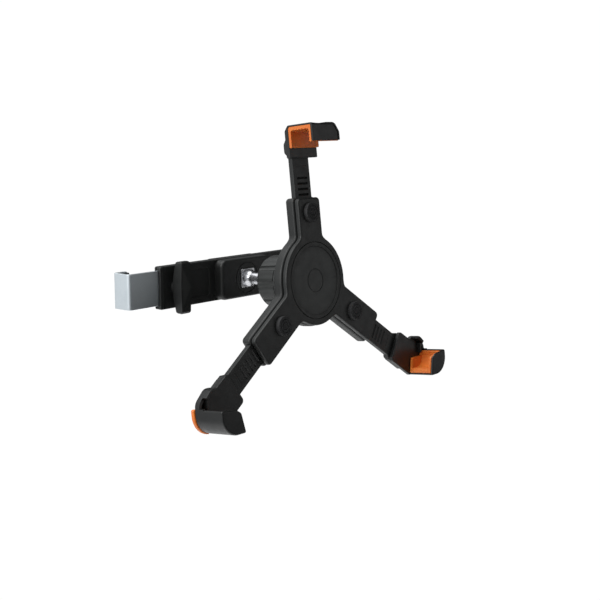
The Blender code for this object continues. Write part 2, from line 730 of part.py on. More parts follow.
def build_top_claw(holder, plastic, orange):
    width = TOP_CLAW_HALF_WIDTH
    lip, top, foot = TOP_CLAW_LIP_Y, TOP_CLAW_TOP_Z, TOP_CLAW_FOOT_Z
    shell_side = rounded(
        [
            (lip, TOP_CLAW_LIP_Z, 0.4),
            (lip, top, 2.0),
            (CLAW_PLATE_FRONT_Y, top, 1.0),
            (CLAW_PLATE_BACK_Y, top - 4.1, 1.0),
            (CLAW_PLATE_BACK_Y, foot, 0.6),
            (CLAW_PLATE_FRONT_Y, foot, 0.6),
            (CLAW_PLATE_FRONT_Y, top - SHELL - 1.2, 0),
            (CLAW_PLATE_FRONT_Y - 1.2, top - SHELL, 0),
            (lip + SHELL, top - SHELL, 0.8),
            (lip + SHELL, TOP_CLAW_LIP_Z, 0.4),
        ]
    )
    front_view = rounded(
        [
            (-width, foot - 5, 0),
            (width, foot - 5, 0),
            (width, top - TOP_CLAW_BEVEL_DROP, 2.5),
            (width - TOP_CLAW_BEVEL, top, 3.0),
            (-width, top, 1.2),
        ]
    )
    shell = prism("top_claw", shell_side, "X", -width - 1, width + 1, plastic, holder)
    face = prism("top_claw_front_view", front_view, "Y", -80, 0, parent=holder)
    combine(shell, [face], "INTERSECT")

    outer_lip = lip + SHELL + GAP
    outer_top = top - SHELL - GAP
    inner_lip = outer_lip + LIP_LINER
    inner_top = outer_top - TOP_LINER_WALL
    liner_side = rounded(
        [
            (outer_lip, TOP_CLAW_LIP_Z - 0.4, 0.4),
            (outer_lip, outer_top, 0.6),
            (LINER_BACK_Y - 1.2, outer_top, 0),
            (LINER_BACK_Y, outer_top - 1.2, 0),
            (LINER_BACK_Y, foot + 7, 0.6),
            (LINER_BACK_FRONT_Y, foot + 7, 0.6),
            (LINER_BACK_FRONT_Y, inner_top, 1.0),
            (inner_lip, inner_top, 1.0),
            (inner_lip, TOP_CLAW_LIP_Z - 0.4, 0.6),
        ]
    )
    liner = prism("top_claw_liner", liner_side, "X", -width - 1, width + 1, orange, holder)
    combine(liner, [prism("top_liner_front_view", front_view, "Y", -80, 0, parent=holder)], "INTERSECT")
    return shell


def lip_outline(side, inset, spread, top_spread):
    """The corner claw from the front, its closed sides drawn in by inset and its open ones out by a spread."""
    low, outer = CORNER_Z + inset, CORNER_X - inset
    corners = [
        (CLAW_INNER_X - spread, low, 1.2),
        (outer, low, CORNER_RADIUS - inset),
        (outer, CLAW_OPEN_Z + top_spread, 1.2),
        (117.0, CLAW_OPEN_Z - 0.7 + top_spread, 2.5),
        (109.5 - spread, CLAW_OPEN_Z - 5.8 + spread, 3.0),
    ]
    return mirrored(rounded(corners, 5), side)


def pocket_outline(side, inset):
    """The space inside the corner claw, run on past its two open sides."""
    low, outer = CORNER_Z + inset, CORNER_X - inset
    corners = [(60, low, 0), (outer, low, CORNER_RADIUS - inset), (outer, -45, 0), (60, -45, 0)]
    return mirrored(rounded(corners, 5), side)


def plate_outline(side):
    """The claw's back plate: the corner, a shoulder above its wall, and a strap along the arm."""
    half, strap = 12.5, LOWER_SHOULDER + 2
    along = polar(strap, LOWER_ARM_DEGREES)
    across = polar(half, LOWER_ARM_DEGREES - 90)
    corners = [
        (CLAW_INNER_X, CORNER_Z, 1.2),
        (CORNER_X, CORNER_Z, CORNER_RADIUS),
        (CORNER_X, CLAW_OPEN_Z + 3.0, 4.0),
        (118.5, -57.7, 4.0),
        (113.2, -57.6, 1.5),
        (110.9, -59.4, 1.0),
        (along[0] + across[0], along[1] + across[1], 3.0),
        (along[0] - across[0], along[1] - across[1], 3.0),
    ]
    return mirrored(rounded(corners, 5), side)


def shoulder_outline(side):
    """A low rib that carries the side wall on round the plate's shoulder."""
    corners = [
        (CORNER_X, CLAW_OPEN_Z - 2.0, 0),
        (CORNER_X, CLAW_OPEN_Z + 3.0, 4.0),
        (118.5, -57.7, 4.0),
        (113.2, -57.6, 0.8),
        (113.2, -59.6, 0.8),
        (117.8, -59.7, 2.0),
        (CORNER_X - 2.2, CLAW_OPEN_Z + 2.2, 2.0),
        (CORNER_X - 2.2, CLAW_OPEN_Z - 2.0, 0),
    ]
    return mirrored(rounded(corners, 4), side)


def tongue(name, side, low, high, front_y, back_y, grow, holder):
    """A short bar through the claw's back plate that joins the liner to its rim behind."""
    xs = sorted((side * (low[0] - grow), side * (high[0] + grow)))
    return block(name, (xs[0], front_y, low[1] - grow), (xs[1], back_y, high[1] + grow), holder)


def build_corner_claw(side, label, holder, plastic, orange):
    shell = prism(
        f"{label}_claw", lip_outline(side, 0, 0, 0), "Y", CORNER_LIP_Y, CLAW_PLATE_BACK_Y, plastic, holder
    )
    softened(shell, 0.4)
    room = prism(
        f"{label}_claw_room", pocket_outline(side, SHELL), "Y", CORNER_LIP_Y + SHELL, CLAW_PLATE_BACK_Y + 2,
        parent=holder,
    )
    plate = prism(
        f"{label}_claw_plate", plate_outline(side), "Y", CLAW_PLATE_FRONT_Y, CLAW_PLATE_BACK_Y, parent=holder
    )
    shoulder = prism(
        f"{label}_claw_shoulder", shoulder_outline(side), "Y", SHOULDER_RIB_Y, CLAW_PLATE_BACK_Y - 1,
        parent=holder,
    )
    cut(shell, room)
    join(shell, plate, shoulder)

    wall = SHELL + GAP
    lip_y = CORNER_LIP_Y + SHELL + GAP
    liner = prism(
        f"{label}_claw_liner", lip_outline(side, wall, 0.4, -LINER_RECESS), "Y", lip_y, LINER_BACK_Y, orange,
        holder,
    )
    hollow = prism(
        f"{label}_liner_hollow", pocket_outline(side, wall + CORNER_LINER_WALL), "Y", lip_y + LIP_LINER,
        LINER_BACK_FRONT_Y, parent=holder,
    )
    rib_room = prism(
        f"{label}_liner_rib_room", shoulder_outline(side), "Y", SHOULDER_RIB_Y - GAP, LINER_BACK_Y + 1,
        parent=holder,
    )
    rim_front = CLAW_PLATE_BACK_Y + GAP
    rim_back = CORNER_RIM_BACK_Y
    rim = prism(f"{label}_liner_rim", lip_outline(side, -0.7, 0, 0), "Y", rim_front, rim_back, parent=holder)
    softened(rim, 0.6)
    rim_hollow = prism(
        f"{label}_rim_hollow", pocket_outline(side, 4.2), "Y", rim_front - 1, rim_back + 1, parent=holder
    )
    near, far = sorted((side * RIM_END_X, side * 60))
    rim_end = block(f"{label}_rim_end", (near, rim_front - 1, -100), (far, rim_back + 1, -50), holder)
    cut(rim, rim_hollow, rim_end)
    cut(liner, hollow, rib_room)
    join(liner, rim)
    for number, (low, high) in enumerate(TONGUES, 1):
        ends = (LINER_BACK_Y - 1, rim_front + 1)
        join(liner, tongue(f"{label}_tongue_{number}", side, low, high, *ends, 0, holder))
        cut(shell, tongue(f"{label}_tongue_way_{number}", side, low, high, *ends, GAP, holder))
    return shell


def main():
    for existing in list(bpy.data.objects):
        bpy.data.objects.remove(existing)

    plastic = finish("black_plastic", (0.018, 0.018, 0.02), 0.5)
    orange = finish("orange_rubber", (0.9, 0.24, 0.02), 0.55)
    rubber = finish("dark_rubber", (0.02, 0.02, 0.02), 0.8)
    nylon = finish("natural_nylon", (0.75, 0.73, 0.68), 0.45)
    aluminium = finish("satin_aluminium", (0.62, 0.66, 0.68), 0.35, 1.0)
    steel = finish("plated_steel", (0.6, 0.6, 0.62), 0.3, 1.0)
    brass = finish("brass", (0.72, 0.5, 0.2), 0.3, 1.0)

    holder = bpy.data.objects.new("holder_frame", None)
    bpy.context.scene.collection.objects.link(holder)
    holder.matrix_world = Matrix.Translation((0, MM * BALL_Y, 0)) @ Matrix.Rotation(
        math.radians(-LEAN_DEGREES), 4, "X"
    )

    build_bar(plastic, steel, brass)
    for side, label in ((-1, "left"), (1, "right")):
        build_hook(side, label, aluminium, rubber)
        build_knob(side, label, plastic, steel)
    build_ball_stud(steel)
    build_ball_seats(holder, nylon)
    build_hub(holder, plastic, rubber, steel)
    build_collar(holder, plastic)

    build_arm("top", 0.0, TOP_TAIL, TOP_SHOULDER, TOP_REACH, holder, plastic)
    claw = build_top_claw(holder, plastic, orange)
    fasten_claw("top", claw, 0.0, TOP_SHOULDER, TOP_REACH, holder, steel)
    for side, label in ((-1, "left"), (1, "right")):
        degrees = side * LOWER_ARM_DEGREES
        build_arm(label, degrees, LOWER_TAIL, LOWER_SHOULDER, LOWER_REACH, holder, plastic)
        claw = build_corner_claw(side, label, holder, plastic, orange)
        fasten_claw(label, claw, degrees, LOWER_SHOULDER, LOWER_REACH, holder, steel)


main()
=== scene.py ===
"""The looks of the headrest tablet holder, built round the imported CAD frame.

Sizes are in millimetres in each piece's own frame: BAR is the row frame, HOLDER has its origin at the
ball's centre with +Z up the tablet and -Y out of its screen, and each arm's frame is HOLDER turned so
that +Z points out along the arm.
"""

import json
import math

import bmesh
import bpy
import numpy as np
from mathutils import Matrix, Vector


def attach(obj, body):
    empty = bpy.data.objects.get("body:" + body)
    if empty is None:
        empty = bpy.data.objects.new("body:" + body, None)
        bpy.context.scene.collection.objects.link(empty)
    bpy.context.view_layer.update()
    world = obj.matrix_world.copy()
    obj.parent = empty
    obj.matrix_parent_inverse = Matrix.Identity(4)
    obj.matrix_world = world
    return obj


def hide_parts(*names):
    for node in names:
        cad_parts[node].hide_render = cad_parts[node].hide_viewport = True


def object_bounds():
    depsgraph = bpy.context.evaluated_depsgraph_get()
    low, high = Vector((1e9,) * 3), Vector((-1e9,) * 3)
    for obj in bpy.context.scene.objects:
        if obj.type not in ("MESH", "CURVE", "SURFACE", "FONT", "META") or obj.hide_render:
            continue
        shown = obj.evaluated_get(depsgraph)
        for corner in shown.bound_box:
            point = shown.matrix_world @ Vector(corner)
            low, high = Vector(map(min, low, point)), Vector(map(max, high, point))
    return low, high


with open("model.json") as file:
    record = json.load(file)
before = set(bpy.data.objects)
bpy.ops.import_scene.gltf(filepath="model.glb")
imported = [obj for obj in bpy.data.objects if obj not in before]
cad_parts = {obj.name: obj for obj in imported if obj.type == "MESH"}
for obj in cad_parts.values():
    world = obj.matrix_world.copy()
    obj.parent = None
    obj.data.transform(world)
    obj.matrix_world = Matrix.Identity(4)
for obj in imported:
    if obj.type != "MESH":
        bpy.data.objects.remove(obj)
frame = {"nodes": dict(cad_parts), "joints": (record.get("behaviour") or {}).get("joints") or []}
cad_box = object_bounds()

MM = 0.001
GAP = 0.3
FINISH = "_finish"
JOINTS = {joint["name"]: joint for joint in frame["joints"]}


def frame_along(origin, forward):
    """A frame with its X along the row's X and its -Y along forward."""
    y = -Vector(forward).normalized()
    x = Vector((1, 0, 0))
    z = x.cross(y)
    return Matrix.Translation(origin) @ Matrix((x, y, z)).transposed().to_4x4()


BAR = Matrix.Identity(4)
HOLDER = frame_along(JOINTS["ball_turn"]["pos_m"], JOINTS["ball_turn"]["axis"])


def arm_frame(joint):
    """(frame, angle from the holder's +Z in degrees) of an arm that slides along a joint's axis."""
    local = HOLDER.to_3x3().inverted() @ Vector(JOINTS[joint]["axis"])
    angle = math.atan2(local.x, local.z)
    return HOLDER @ Matrix.Rotation(angle, 4, "Y"), math.degrees(angle)


ARM_FRAMES = {label: arm_frame(f"{label}_arm_slide") for label in ("top", "right", "left")}


def span(node, place=BAR):
    """The lowest and highest corners of a CAD node in a frame, in millimetres."""
    to_local = place.inverted() @ frame["nodes"][node].matrix_world
    points = np.array([to_local @ vertex.co for vertex in frame["nodes"][node].data.vertices]) / MM
    return points.min(axis=0), points.max(axis=0)


# Outlines


def rounded(corners, steps=8):
    """The closed outline through corners (across, up, radius), with an arc of each radius at its corner."""
    points = []
    for i, (x, y, radius) in enumerate(corners):
        if not radius:
            points.append((x, y))
            continue
        before = corners[i - 1]
        after = corners[(i + 1) % len(corners)]
        start = math.atan2(before[1] - y, before[0] - x)
        end = math.atan2(after[1] - y, after[0] - x)
        opening = (end - start + math.pi) % (2 * math.pi) - math.pi
        middle = start + opening / 2
        reach = radius / math.sin(abs(opening) / 2)
        centre = (x + reach * math.cos(middle), y + reach * math.sin(middle))
        turn = (math.pi - abs(opening)) / 2 * math.copysign(1, opening)
        for step in range(steps + 1):
            angle = middle + math.pi + turn - 2 * turn * step / steps
            points.append((centre[0] + radius * math.cos(angle), centre[1] + radius * math.sin(angle)))
    return points


def rectangle(low, high, radius=0.0, steps=8):
    corners = [(low[0], low[1]), (high[0], low[1]), (high[0], high[1]), (low[0], high[1])]
    return rounded([(x, y, radius) for x, y in corners], steps)


def circle(radius, steps=48, centre=(0.0, 0.0)):
    points = []
    for step in range(steps):
        angle = 2 * math.pi * step / steps
        points.append((centre[0] + radius * math.cos(angle), centre[1] + radius * math.sin(angle)))
    return points


def arc(radius, start_degrees, end_degrees, steps):
    """Points (radius from the axis, height) on a sphere, by their angle from the axis's high end."""
    points = []
    for step in range(steps + 1):
        angle = math.radians(start_degrees + (end_degrees - start_degrees) * step / steps)
        points.append((radius * math.sin(angle), radius * math.cos(angle)))
    return points


def mirrored(outline, side):
    return [(side * x, y) for x, y in outline]


# Solids


def mesh_object(name, bm):
    bmesh.ops.recalc_face_normals(bm, faces=bm.faces)
    mesh = bpy.data.meshes.new(name)
    bm.to_mesh(mesh)
    bm.free()
    piece = bpy.data.objects.new(name, mesh)
    bpy.context.scene.collection.objects.link(piece)
    return piece


def prism(outline, axis, low, high):
    """A solid that keeps one outline along an axis, from low to high on it."""
    lift = {
        "X": lambda across, up, along: (along, across, up),
        "Y": lambda across, up, along: (across, along, up),
        "Z": lambda across, up, along: (across, up, along),
    }[axis]
    bm = bmesh.new()
    base = bm.faces.new([bm.verts.new([MM * v for v in lift(x, y, low)]) for x, y in outline])
    grown = bmesh.ops.extrude_face_region(bm, geom=[base])
    moved = [item for item in grown["geom"] if isinstance(item, bmesh.types.BMVert)]
    bmesh.ops.translate(bm, verts=moved, vec=[MM * v for v in lift(0, 0, high - low)])
    return mesh_object("prism", bm)


def turned(profile, steps=64, at=(0.0, 0.0)):
    """A solid turned about an axis along Y through at (x, z), from points (radius, Y)."""
    bm = bmesh.new()
    verts = [bm.verts.new((MM * (at[0] + radius), MM * y, MM * at[1])) for radius, y in profile]
    edges = [bm.edges.new(pair) for pair in zip(verts, verts[1:])]
    if profile[0][0] > 0:
        edges.append(bm.edges.new((verts[-1], verts[0])))
    bmesh.ops.spin(
        bm, geom=verts + edges, axis=(0, 1, 0), cent=(MM * at[0], 0, MM * at[1]), angle=2 * math.pi,
        steps=steps, use_merge=True,
    )
    bmesh.ops.remove_doubles(bm, verts=bm.verts, dist=1e-7)
    return mesh_object("turned", bm)


def ring(inner, outer, low, high, steps=64):
    """A flat ring about the Y axis, from low to high on it."""
    return turned([(inner, low), (inner, high), (outer, high), (outer, low)], steps)


def box(low, high, radius=0.0):
    return prism(rectangle((low[0], low[2]), (high[0], high[2]), radius), "Y", low[1], high[1])


def side_box(side, near, far, low, high, radius=0.0):
    """A box on the left (side -1) or the right (1), between two distances out, from low to high (Y, Z)."""
    left, right = sorted((side * near, side * far))
    return box((left, *low), (right, *high), radius)


def ball(centre, radius):
    bm = bmesh.new()
    bmesh.ops.create_uvsphere(bm, u_segments=32, v_segments=16, radius=MM * radius)
    bmesh.ops.translate(bm, verts=bm.verts, vec=[MM * v for v in centre])
    return mesh_object("ball", bm)


def settle(piece):
    """Applies the piece's modifiers."""
    graph = bpy.context.evaluated_depsgraph_get()
    mesh = bpy.data.meshes.new_from_object(piece.evaluated_get(graph))
    piece.modifiers.clear()
    piece.data = mesh
    return piece


def soft(piece, width, segments=3, degrees=40):
    """Rounds the piece's edges that are sharper than an angle."""
    bevel = piece.modifiers.new("soft_edges", "BEVEL")
    bevel.width = MM * width
    bevel.segments = segments
    bevel.limit_method = "ANGLE"
    bevel.angle_limit = math.radians(degrees)
    return settle(piece)


def combine(body, tools, operation):
    for tool in tools:
        boolean = body.modifiers.new("boolean", "BOOLEAN")
        boolean.object = tool
        boolean.operation = operation
        boolean.solver = "EXACT"
    settle(body)
    for tool in tools:
        bpy.data.objects.remove(tool)
    return body


def cut(body, *tools):
    return combine(body, tools, "DIFFERENCE")


def join(body, *tools):
    return combine(body, tools, "UNION")


def common(body, *tools):
    return combine(body, tools, "INTERSECT")


def turn(piece, degrees):
    """Turns the piece's mesh about Y."""
    piece.data.transform(Matrix.Rotation(math.radians(degrees), 4, "Y"))
    return piece


def show(piece, node, place, body, material):
    """Puts a finished piece in its place, on its CAD body, with its material, instead of its CAD node."""
    piece.name = f"{node}_seen"
    piece.data.name = piece.name
    piece.data.transform(place)
    piece.data.materials.clear()
    piece.data.materials.append(material)
    piece.data.shade_smooth()
    piece.data.set_sharp_from_angle(angle=math.radians(35))
    weighted = piece.modifiers.new("weighted_normals", "WEIGHTED_NORMAL")
    weighted.keep_sharp = True
    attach(piece, body)
    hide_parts(node)


# Materials


class Finish:
    """Builds one node material."""

    def __init__(self, name, metallic=0.0):
        self.material = bpy.data.materials.new(name + FINISH)
        self.material.use_nodes = True
        self.nodes = self.material.node_tree.nodes
        self.links = self.material.node_tree.links
        self.shader = self.nodes["Principled BSDF"]
        self.shader.inputs["Metallic"].default_value = metallic
        self.place = self.nodes.new("ShaderNodeTexCoord").outputs["Object"]

    def stretched(self, scale):
        mapping = self.nodes.new("ShaderNodeMapping")
        mapping.inputs["Scale"].default_value = scale
        self.links.new(self.place, mapping.inputs["Vector"])
        return mapping.outputs["Vector"]

    def noise(self, scale, detail=2.0, roughness=0.5, vector=None):
        noise = self.nodes.new("ShaderNodeTexNoise")
        noise.inputs["Scale"].default_value = scale
        noise.inputs["Detail"].default_value = detail
        noise.inputs["Roughness"].default_value = roughness
        self.links.new(vector or self.place, noise.inputs["Vector"])
        return noise.outputs["Fac"]

    def cells(self, scale):
        voronoi = self.nodes.new("ShaderNodeTexVoronoi")
        voronoi.inputs["Scale"].default_value = scale
        self.links.new(self.place, voronoi.inputs["Vector"])
        return voronoi.outputs["Distance"]

    def colour_between(self, value, dark, light, low=0.3, high=0.7):
        ramp = self.nodes.new("ShaderNodeValToRGB")
        ramp.color_ramp.elements[0].position = low
        ramp.color_ramp.elements[0].color = (*dark, 1)
        ramp.color_ramp.elements[1].position = high
        ramp.color_ramp.elements[1].color = (*light, 1)
        self.links.new(value, ramp.inputs["Fac"])
        return ramp.outputs["Color"]

    def between(self, value, low, high):
        spread = self.nodes.new("ShaderNodeMapRange")
        spread.inputs["From Min"].default_value = 0.3
        spread.inputs["From Max"].default_value = 0.7
        spread.inputs["To Min"].default_value = low
        spread.inputs["To Max"].default_value = high
        self.links.new(value, spread.inputs["Value"])
        return spread.outputs["Result"]

    def worn_edges(self, colour, light, amount):
        """Lightens the colour a little along the piece's outward edges."""
        geometry = self.nodes.new("ShaderNodeNewGeometry")
        edge = self.nodes.new("ShaderNodeMapRange")
        edge.inputs["From Min"].default_value = 0.51
        edge.inputs["From Max"].default_value = 0.62
        edge.inputs["To Max"].default_value = amount
        self.links.new(geometry.outputs["Pointiness"], edge.inputs["Value"])
        mix = self.nodes.new("ShaderNodeMix")
        mix.data_type = "RGBA"
        self.links.new(edge.outputs["Result"], mix.inputs["Factor"])
        self.links.new(colour, mix.inputs["A"])
        mix.inputs["B"].default_value = (*light, 1)
        return mix.outputs["Result"]

    def bump(self, *layers):
        """Layers are (height output, depth in millimetres)."""
        normal = None
        for height, depth in layers:
            bump = self.nodes.new("ShaderNodeBump")
            bump.inputs["Distance"].default_value = MM * depth
            self.links.new(height, bump.inputs["Height"])
            if normal:
                self.links.new(normal, bump.inputs["Normal"])
            normal = bump.outputs["Normal"]
        self.links.new(normal, self.shader.inputs["Normal"])

    def colour(self, output):
        self.links.new(output, self.shader.inputs["Base Color"])

    def roughness(self, output):
        self.links.new(output, self.shader.inputs["Roughness"])

    def set(self, **values):
        for name, value in values.items():
            self.shader.inputs[name.replace("_", " ")].default_value = value
        return self.material


def moulded_plastic(name, dark, light, rough, grain_depth):
    """Black plastic from a spark-eroded mould: a fine even grain, faint sheen changes, paler worn edges."""
    made = Finish(name)
    patches = made.noise(55, 4, 0.6)
    base = made.colour_between(patches, dark, light)
    made.colour(made.worn_edges(base, tuple(4 * v for v in light), 0.5))
    made.roughness(made.between(made.noise(160, 3), rough - 0.05, rough + 0.07))
    made.bump((made.noise(2600, 2, 0.6), grain_depth), (made.cells(1900), grain_depth * 0.6))
    return made.set(IOR=1.45)


def orange_rubber():
    made = Finish("orange_rubber")
    base = made.colour_between(made.noise(70, 3), (0.60, 0.135, 0.012), (0.68, 0.175, 0.020))
    made.colour(base)
    made.roughness(made.between(made.noise(300, 3), 0.42, 0.56))
    made.bump((made.noise(3000, 2), 0.02))
    return made.set(IOR=1.48, Subsurface_Weight=0.12, Subsurface_Scale=0.002, Coat_Weight=0.08)


def dark_rubber():
    made = Finish("dark_rubber")
    made.colour(made.colour_between(made.noise(120, 4), (0.012, 0.012, 0.013), (0.024, 0.024, 0.025)))
    made.roughness(made.between(made.noise(400, 3), 0.66, 0.82))
    made.bump((made.noise(1800, 4, 0.7), 0.05))
    return made.set(IOR=1.5)


def natural_nylon():
    made = Finish("natural_nylon")
    made.colour(made.colour_between(made.noise(80, 3), (0.70, 0.68, 0.62), (0.80, 0.78, 0.72)))
    made.roughness(made.between(made.noise(200, 3), 0.35, 0.5))
    made.bump((made.noise(2000, 2), 0.01))
    return made.set(Subsurface_Weight=0.1, Subsurface_Scale=0.002)


def satin_aluminium():
    """Fine lines along the strip, with slow changes of tone and a few faint scuffs."""
    made = Finish("satin_aluminium", 1.0)
    lines = made.noise(90, 5, 0.65, made.stretched((1, 1, 40)))
    scuffs = made.noise(90, 5, 0.75)
    made.colour(made.colour_between(scuffs, (0.68, 0.735, 0.77), (0.74, 0.795, 0.83)))
    made.roughness(made.between(lines, 0.40, 0.47))
    made.bump((lines, 0.0012), (made.noise(900, 2), 0.002))
    return made.set(Anisotropic=0.4)


def plated_steel():
    made = Finish("plated_steel", 1.0)
    made.colour(made.colour_between(made.noise(150, 4), (0.50, 0.51, 0.54), (0.66, 0.66, 0.68)))
    made.roughness(made.between(made.noise(500, 3), 0.2, 0.36))
    made.bump((made.noise(700, 3), 0.01))
    return made.set()


def turned_brass():
    made = Finish("brass", 1.0)
    made.colour(made.colour_between(made.noise(150, 4), (0.62, 0.42, 0.16), (0.78, 0.56, 0.25)))
    made.roughness(made.between(made.noise(500, 3), 0.2, 0.36))
    made.bump((made.noise(900, 3, 0.5, made.stretched((1, 12, 1))), 0.01))
    return made.set()


PLASTIC = moulded_plastic("black_plastic", (0.0080, 0.0086, 0.0083), (0.0120, 0.0128, 0.0124), 0.42, 0.03)
KNOB_PLASTIC = moulded_plastic("knob_plastic", (0.0065, 0.0070, 0.0068), (0.0105, 0.0112, 0.0108), 0.40, 0.04)
CLAW_PLASTIC = moulded_plastic("claw_plastic", (0.0050, 0.0053, 0.0053), (0.0080, 0.0084, 0.0084), 0.36, 0.02)
ORANGE = orange_rubber()
RUBBER = dark_rubber()
NYLON = natural_nylon()
ALUMINIUM = satin_aluminium()
STEEL = plated_steel()
BRASS = turned_brass()


# Fasteners


def axis_of(node, place=BAR):
    """Where (x, z) the middle of a CAD node is, seen along Y, in millimetres."""
    low, high = span(node, place)
    return (low[0] + high[0]) / 2, (low[2] + high[2]) / 2


def screw_axes(stem, count, place=BAR):
    return [axis_of(f"{stem}_{number}", place) for number in range(1, count + 1)]


def screw(node, place, body):
    """A pan-head screw with a cross recess and a turned-in thread, at its CAD node's place."""
    low, high = span(node, place)
    at = axis_of(node, place)
    head, head_height, dome = (high[0] - low[0]) / 2, 1.5, 0.75
    shank, pitch, thread_depth = head * 0.44, 0.5, 0.18
    top, under = high[1], high[1] - head_height
    profile = [(0, low[1]), (shank * 0.5, low[1]), (shank, low[1] + 0.8)]
    y = low[1] + 1.0
    while y < under - 1.0:
        profile += [(shank, y), (shank - thread_depth, y + pitch / 2)]
        y += pitch
    profile += [(shank, under - 0.4), (shank, under), (head, under), (head, top - dome)]
    steps = 5
    for step in range(1, steps + 1):
        angle = math.radians(90 * step / steps)
        profile.append((head * (0.72 + 0.28 * math.cos(angle)), top - dome + dome * math.sin(angle)))
    profile.append((0, top))
    piece = turned(profile, 32, at)
    arm, slot, recess_depth = head * 0.55, 0.32, 0.9
    bottom, above = top - recess_depth, top + 1
    across = box((at[0] - arm, bottom, at[1] - slot), (at[0] + arm, above, at[1] + slot))
    upright = box((at[0] - slot, bottom, at[1] - arm), (at[0] + slot, above, at[1] + arm))
    cut(piece, join(across, upright))
    show(piece, node, place, body, STEEL)


# Bar

BAR_CORNER, BLOCK_CORNER, BLOCK_HALF = 1.4, 5.0, 27.0
STUD_WAY = 3.3
BAR_THROUGH = (-30, 5)


def bar_blank(sleeve, block, sleeve_round, block_round):
    """One shell of the bar: its sleeve and its thicker middle block, each from a low to a high Y."""
    half_length, _, half_height = span("bar_front_shell")[1]
    block_height = half_height - 0.5
    outline = rectangle((-half_length, -half_height), (half_length, half_height), BAR_CORNER)
    blank = soft(prism(outline, "Y", *sleeve), sleeve_round, 3)
    outline = rectangle((-BLOCK_HALF, -block_height), (BLOCK_HALF, block_height), BLOCK_CORNER)
    return join(blank, soft(prism(outline, "Y", *block), block_round, 5))


def build_bar_front():
    low, high = span("bar_front_shell")
    half_length, block_front, split = high[0], low[1], high[1]
    sleeve_front = -10.7
    knob_x = abs(JOINTS["right_knob_turn"]["pos_m"][0]) / MM
    strip_low, strip_high = span("left_hook")
    room = strip_high[2] + GAP
    boss_y, boss_radius, boss_way = -12.3, 5.2, 2.6
    front = bar_blank((sleeve_front, split), (block_front, split), 0.7, 2.2)
    for side in (-1, 1):
        at = (side * knob_x, 0)
        boss = soft(prism(circle(boss_radius, 48, at), "Y", boss_y, sleeve_front + 1), 0.4, 2)
        join(front, boss)
        channel = side_box(side, BLOCK_HALF - 1, half_length + 5, (strip_low[1] - GAP, -room), (0, room))
        hole = prism(circle(boss_way, 32, at), "Y", -16, 0)
        panel = side_box(side, 33.0, 57.5, (sleeve_front - 2, -10.5), (sleeve_front + 0.5, 10.5), 2.5)
        line = side_box(
            side, half_length - 3.4, half_length - 2.8, (sleeve_front - 2, -20), (sleeve_front + 0.35, 20)
        )
        cut(front, channel, hole, soft(panel, 0.35, 2), line)
    flange_half, flange_depth = 7.3, 1.5
    flange_seat = box(
        (-flange_half, block_front - 1, -flange_half),
        (flange_half, block_front + flange_depth, flange_half),
        1.0,
    )
    cut(front, soft(flange_seat, 0.2, 1), prism(circle(STUD_WAY), "Y", *BAR_THROUGH))
    cut(front, ring(11.2, 11.9, block_front - 1, block_front + 0.5))
    show(front, "bar_front_shell", BAR, "bar", PLASTIC)


def build_bar_rear():
    low, high = span("bar_rear_shell")
    sleeve_back = -4.5
    back = bar_blank((low[1], sleeve_back), (low[1], high[1]), 0.6, 2.0)
    nut_seat = prism(circle(6.8), "Y", -3.9, 5)
    cut(back, prism(circle(STUD_WAY), "Y", *BAR_THROUGH), nut_seat)
    for at in screw_axes("bar_screw", 4):
        cut(back, prism(circle(1.7, 24, at), "Y", *BAR_THROUGH), prism(circle(3.0, 32, at), "Y", -1.5, 5))
    for side in (-1, 1):
        for row in range(5):
            z = (row - 2) * 5.0
            low_edge, high_edge = (sleeve_back - 0.45, z - 0.7), (sleeve_back + 1, z + 0.7)
            cut(back, side_box(side, 34.0, 74.0, low_edge, high_edge, 0.65))
    show(back, "bar_rear_shell", BAR, "bar", PLASTIC)


def build_bar():
    build_bar_front()
    build_bar_rear()
    for number in range(1, 5):
        screw(f"bar_screw_{number}", BAR, "bar")


# Hooks


HOOK_THICK, HOOK_CORNER, RETURN_LEG = 2.0, 2.6, 12.5


def hook_reach(label):
    """How far out from the bar's middle the hook's outer face is, and the tip of its return leg."""
    low, high = span(f"{label}_hook")
    far = max(abs(low[0]), abs(high[0]))
    return far, far - RETURN_LEG


def leg_wedge(side, z_side, tip, edge, low, high):
    """What a round corner leaves off the return leg's square one, from low to high on Y."""
    radius, steps = HOOK_CORNER, 8
    points = [(tip - 1, edge + 1), (tip - 1, edge - radius), (tip, edge - radius)]
    for step in range(steps + 1):
        angle = math.radians(180 - 90 * step / steps)
        points.append((tip + radius + radius * math.cos(angle), edge - radius + radius * math.sin(angle)))
    points.append((tip + radius, edge + 1))
    return prism([(side * x, z_side * z) for x, z in points], "Y", low, high)


def build_hook(side, label):
    low, high = span(f"{label}_hook")
    near = min(abs(low[0]), abs(high[0]))
    far, tip = hook_reach(label)
    front, back, thick = low[1], high[1], HOOK_THICK
    corners = [
        (near, front, 0),
        (far, front, HOOK_CORNER),
        (far, back, HOOK_CORNER),
        (tip, back, 0.9),
        (tip, back - thick, 0.9),
        (far - thick, back - thick, 0.6),
        (far - thick, front + thick, 0.6),
        (near, front + thick, 0),
    ]
    strip = prism(mirrored(rounded(corners, 12), side), "Z", low[2], high[2])
    soft(strip, 0.3, 3, 50)
    for z_side in (-1, 1):
        cut(strip, leg_wedge(side, z_side, tip, high[2], back - thick - 1, back + 1))
    show(strip, f"{label}_hook", BAR, f"{label}_hook", ALUMINIUM)


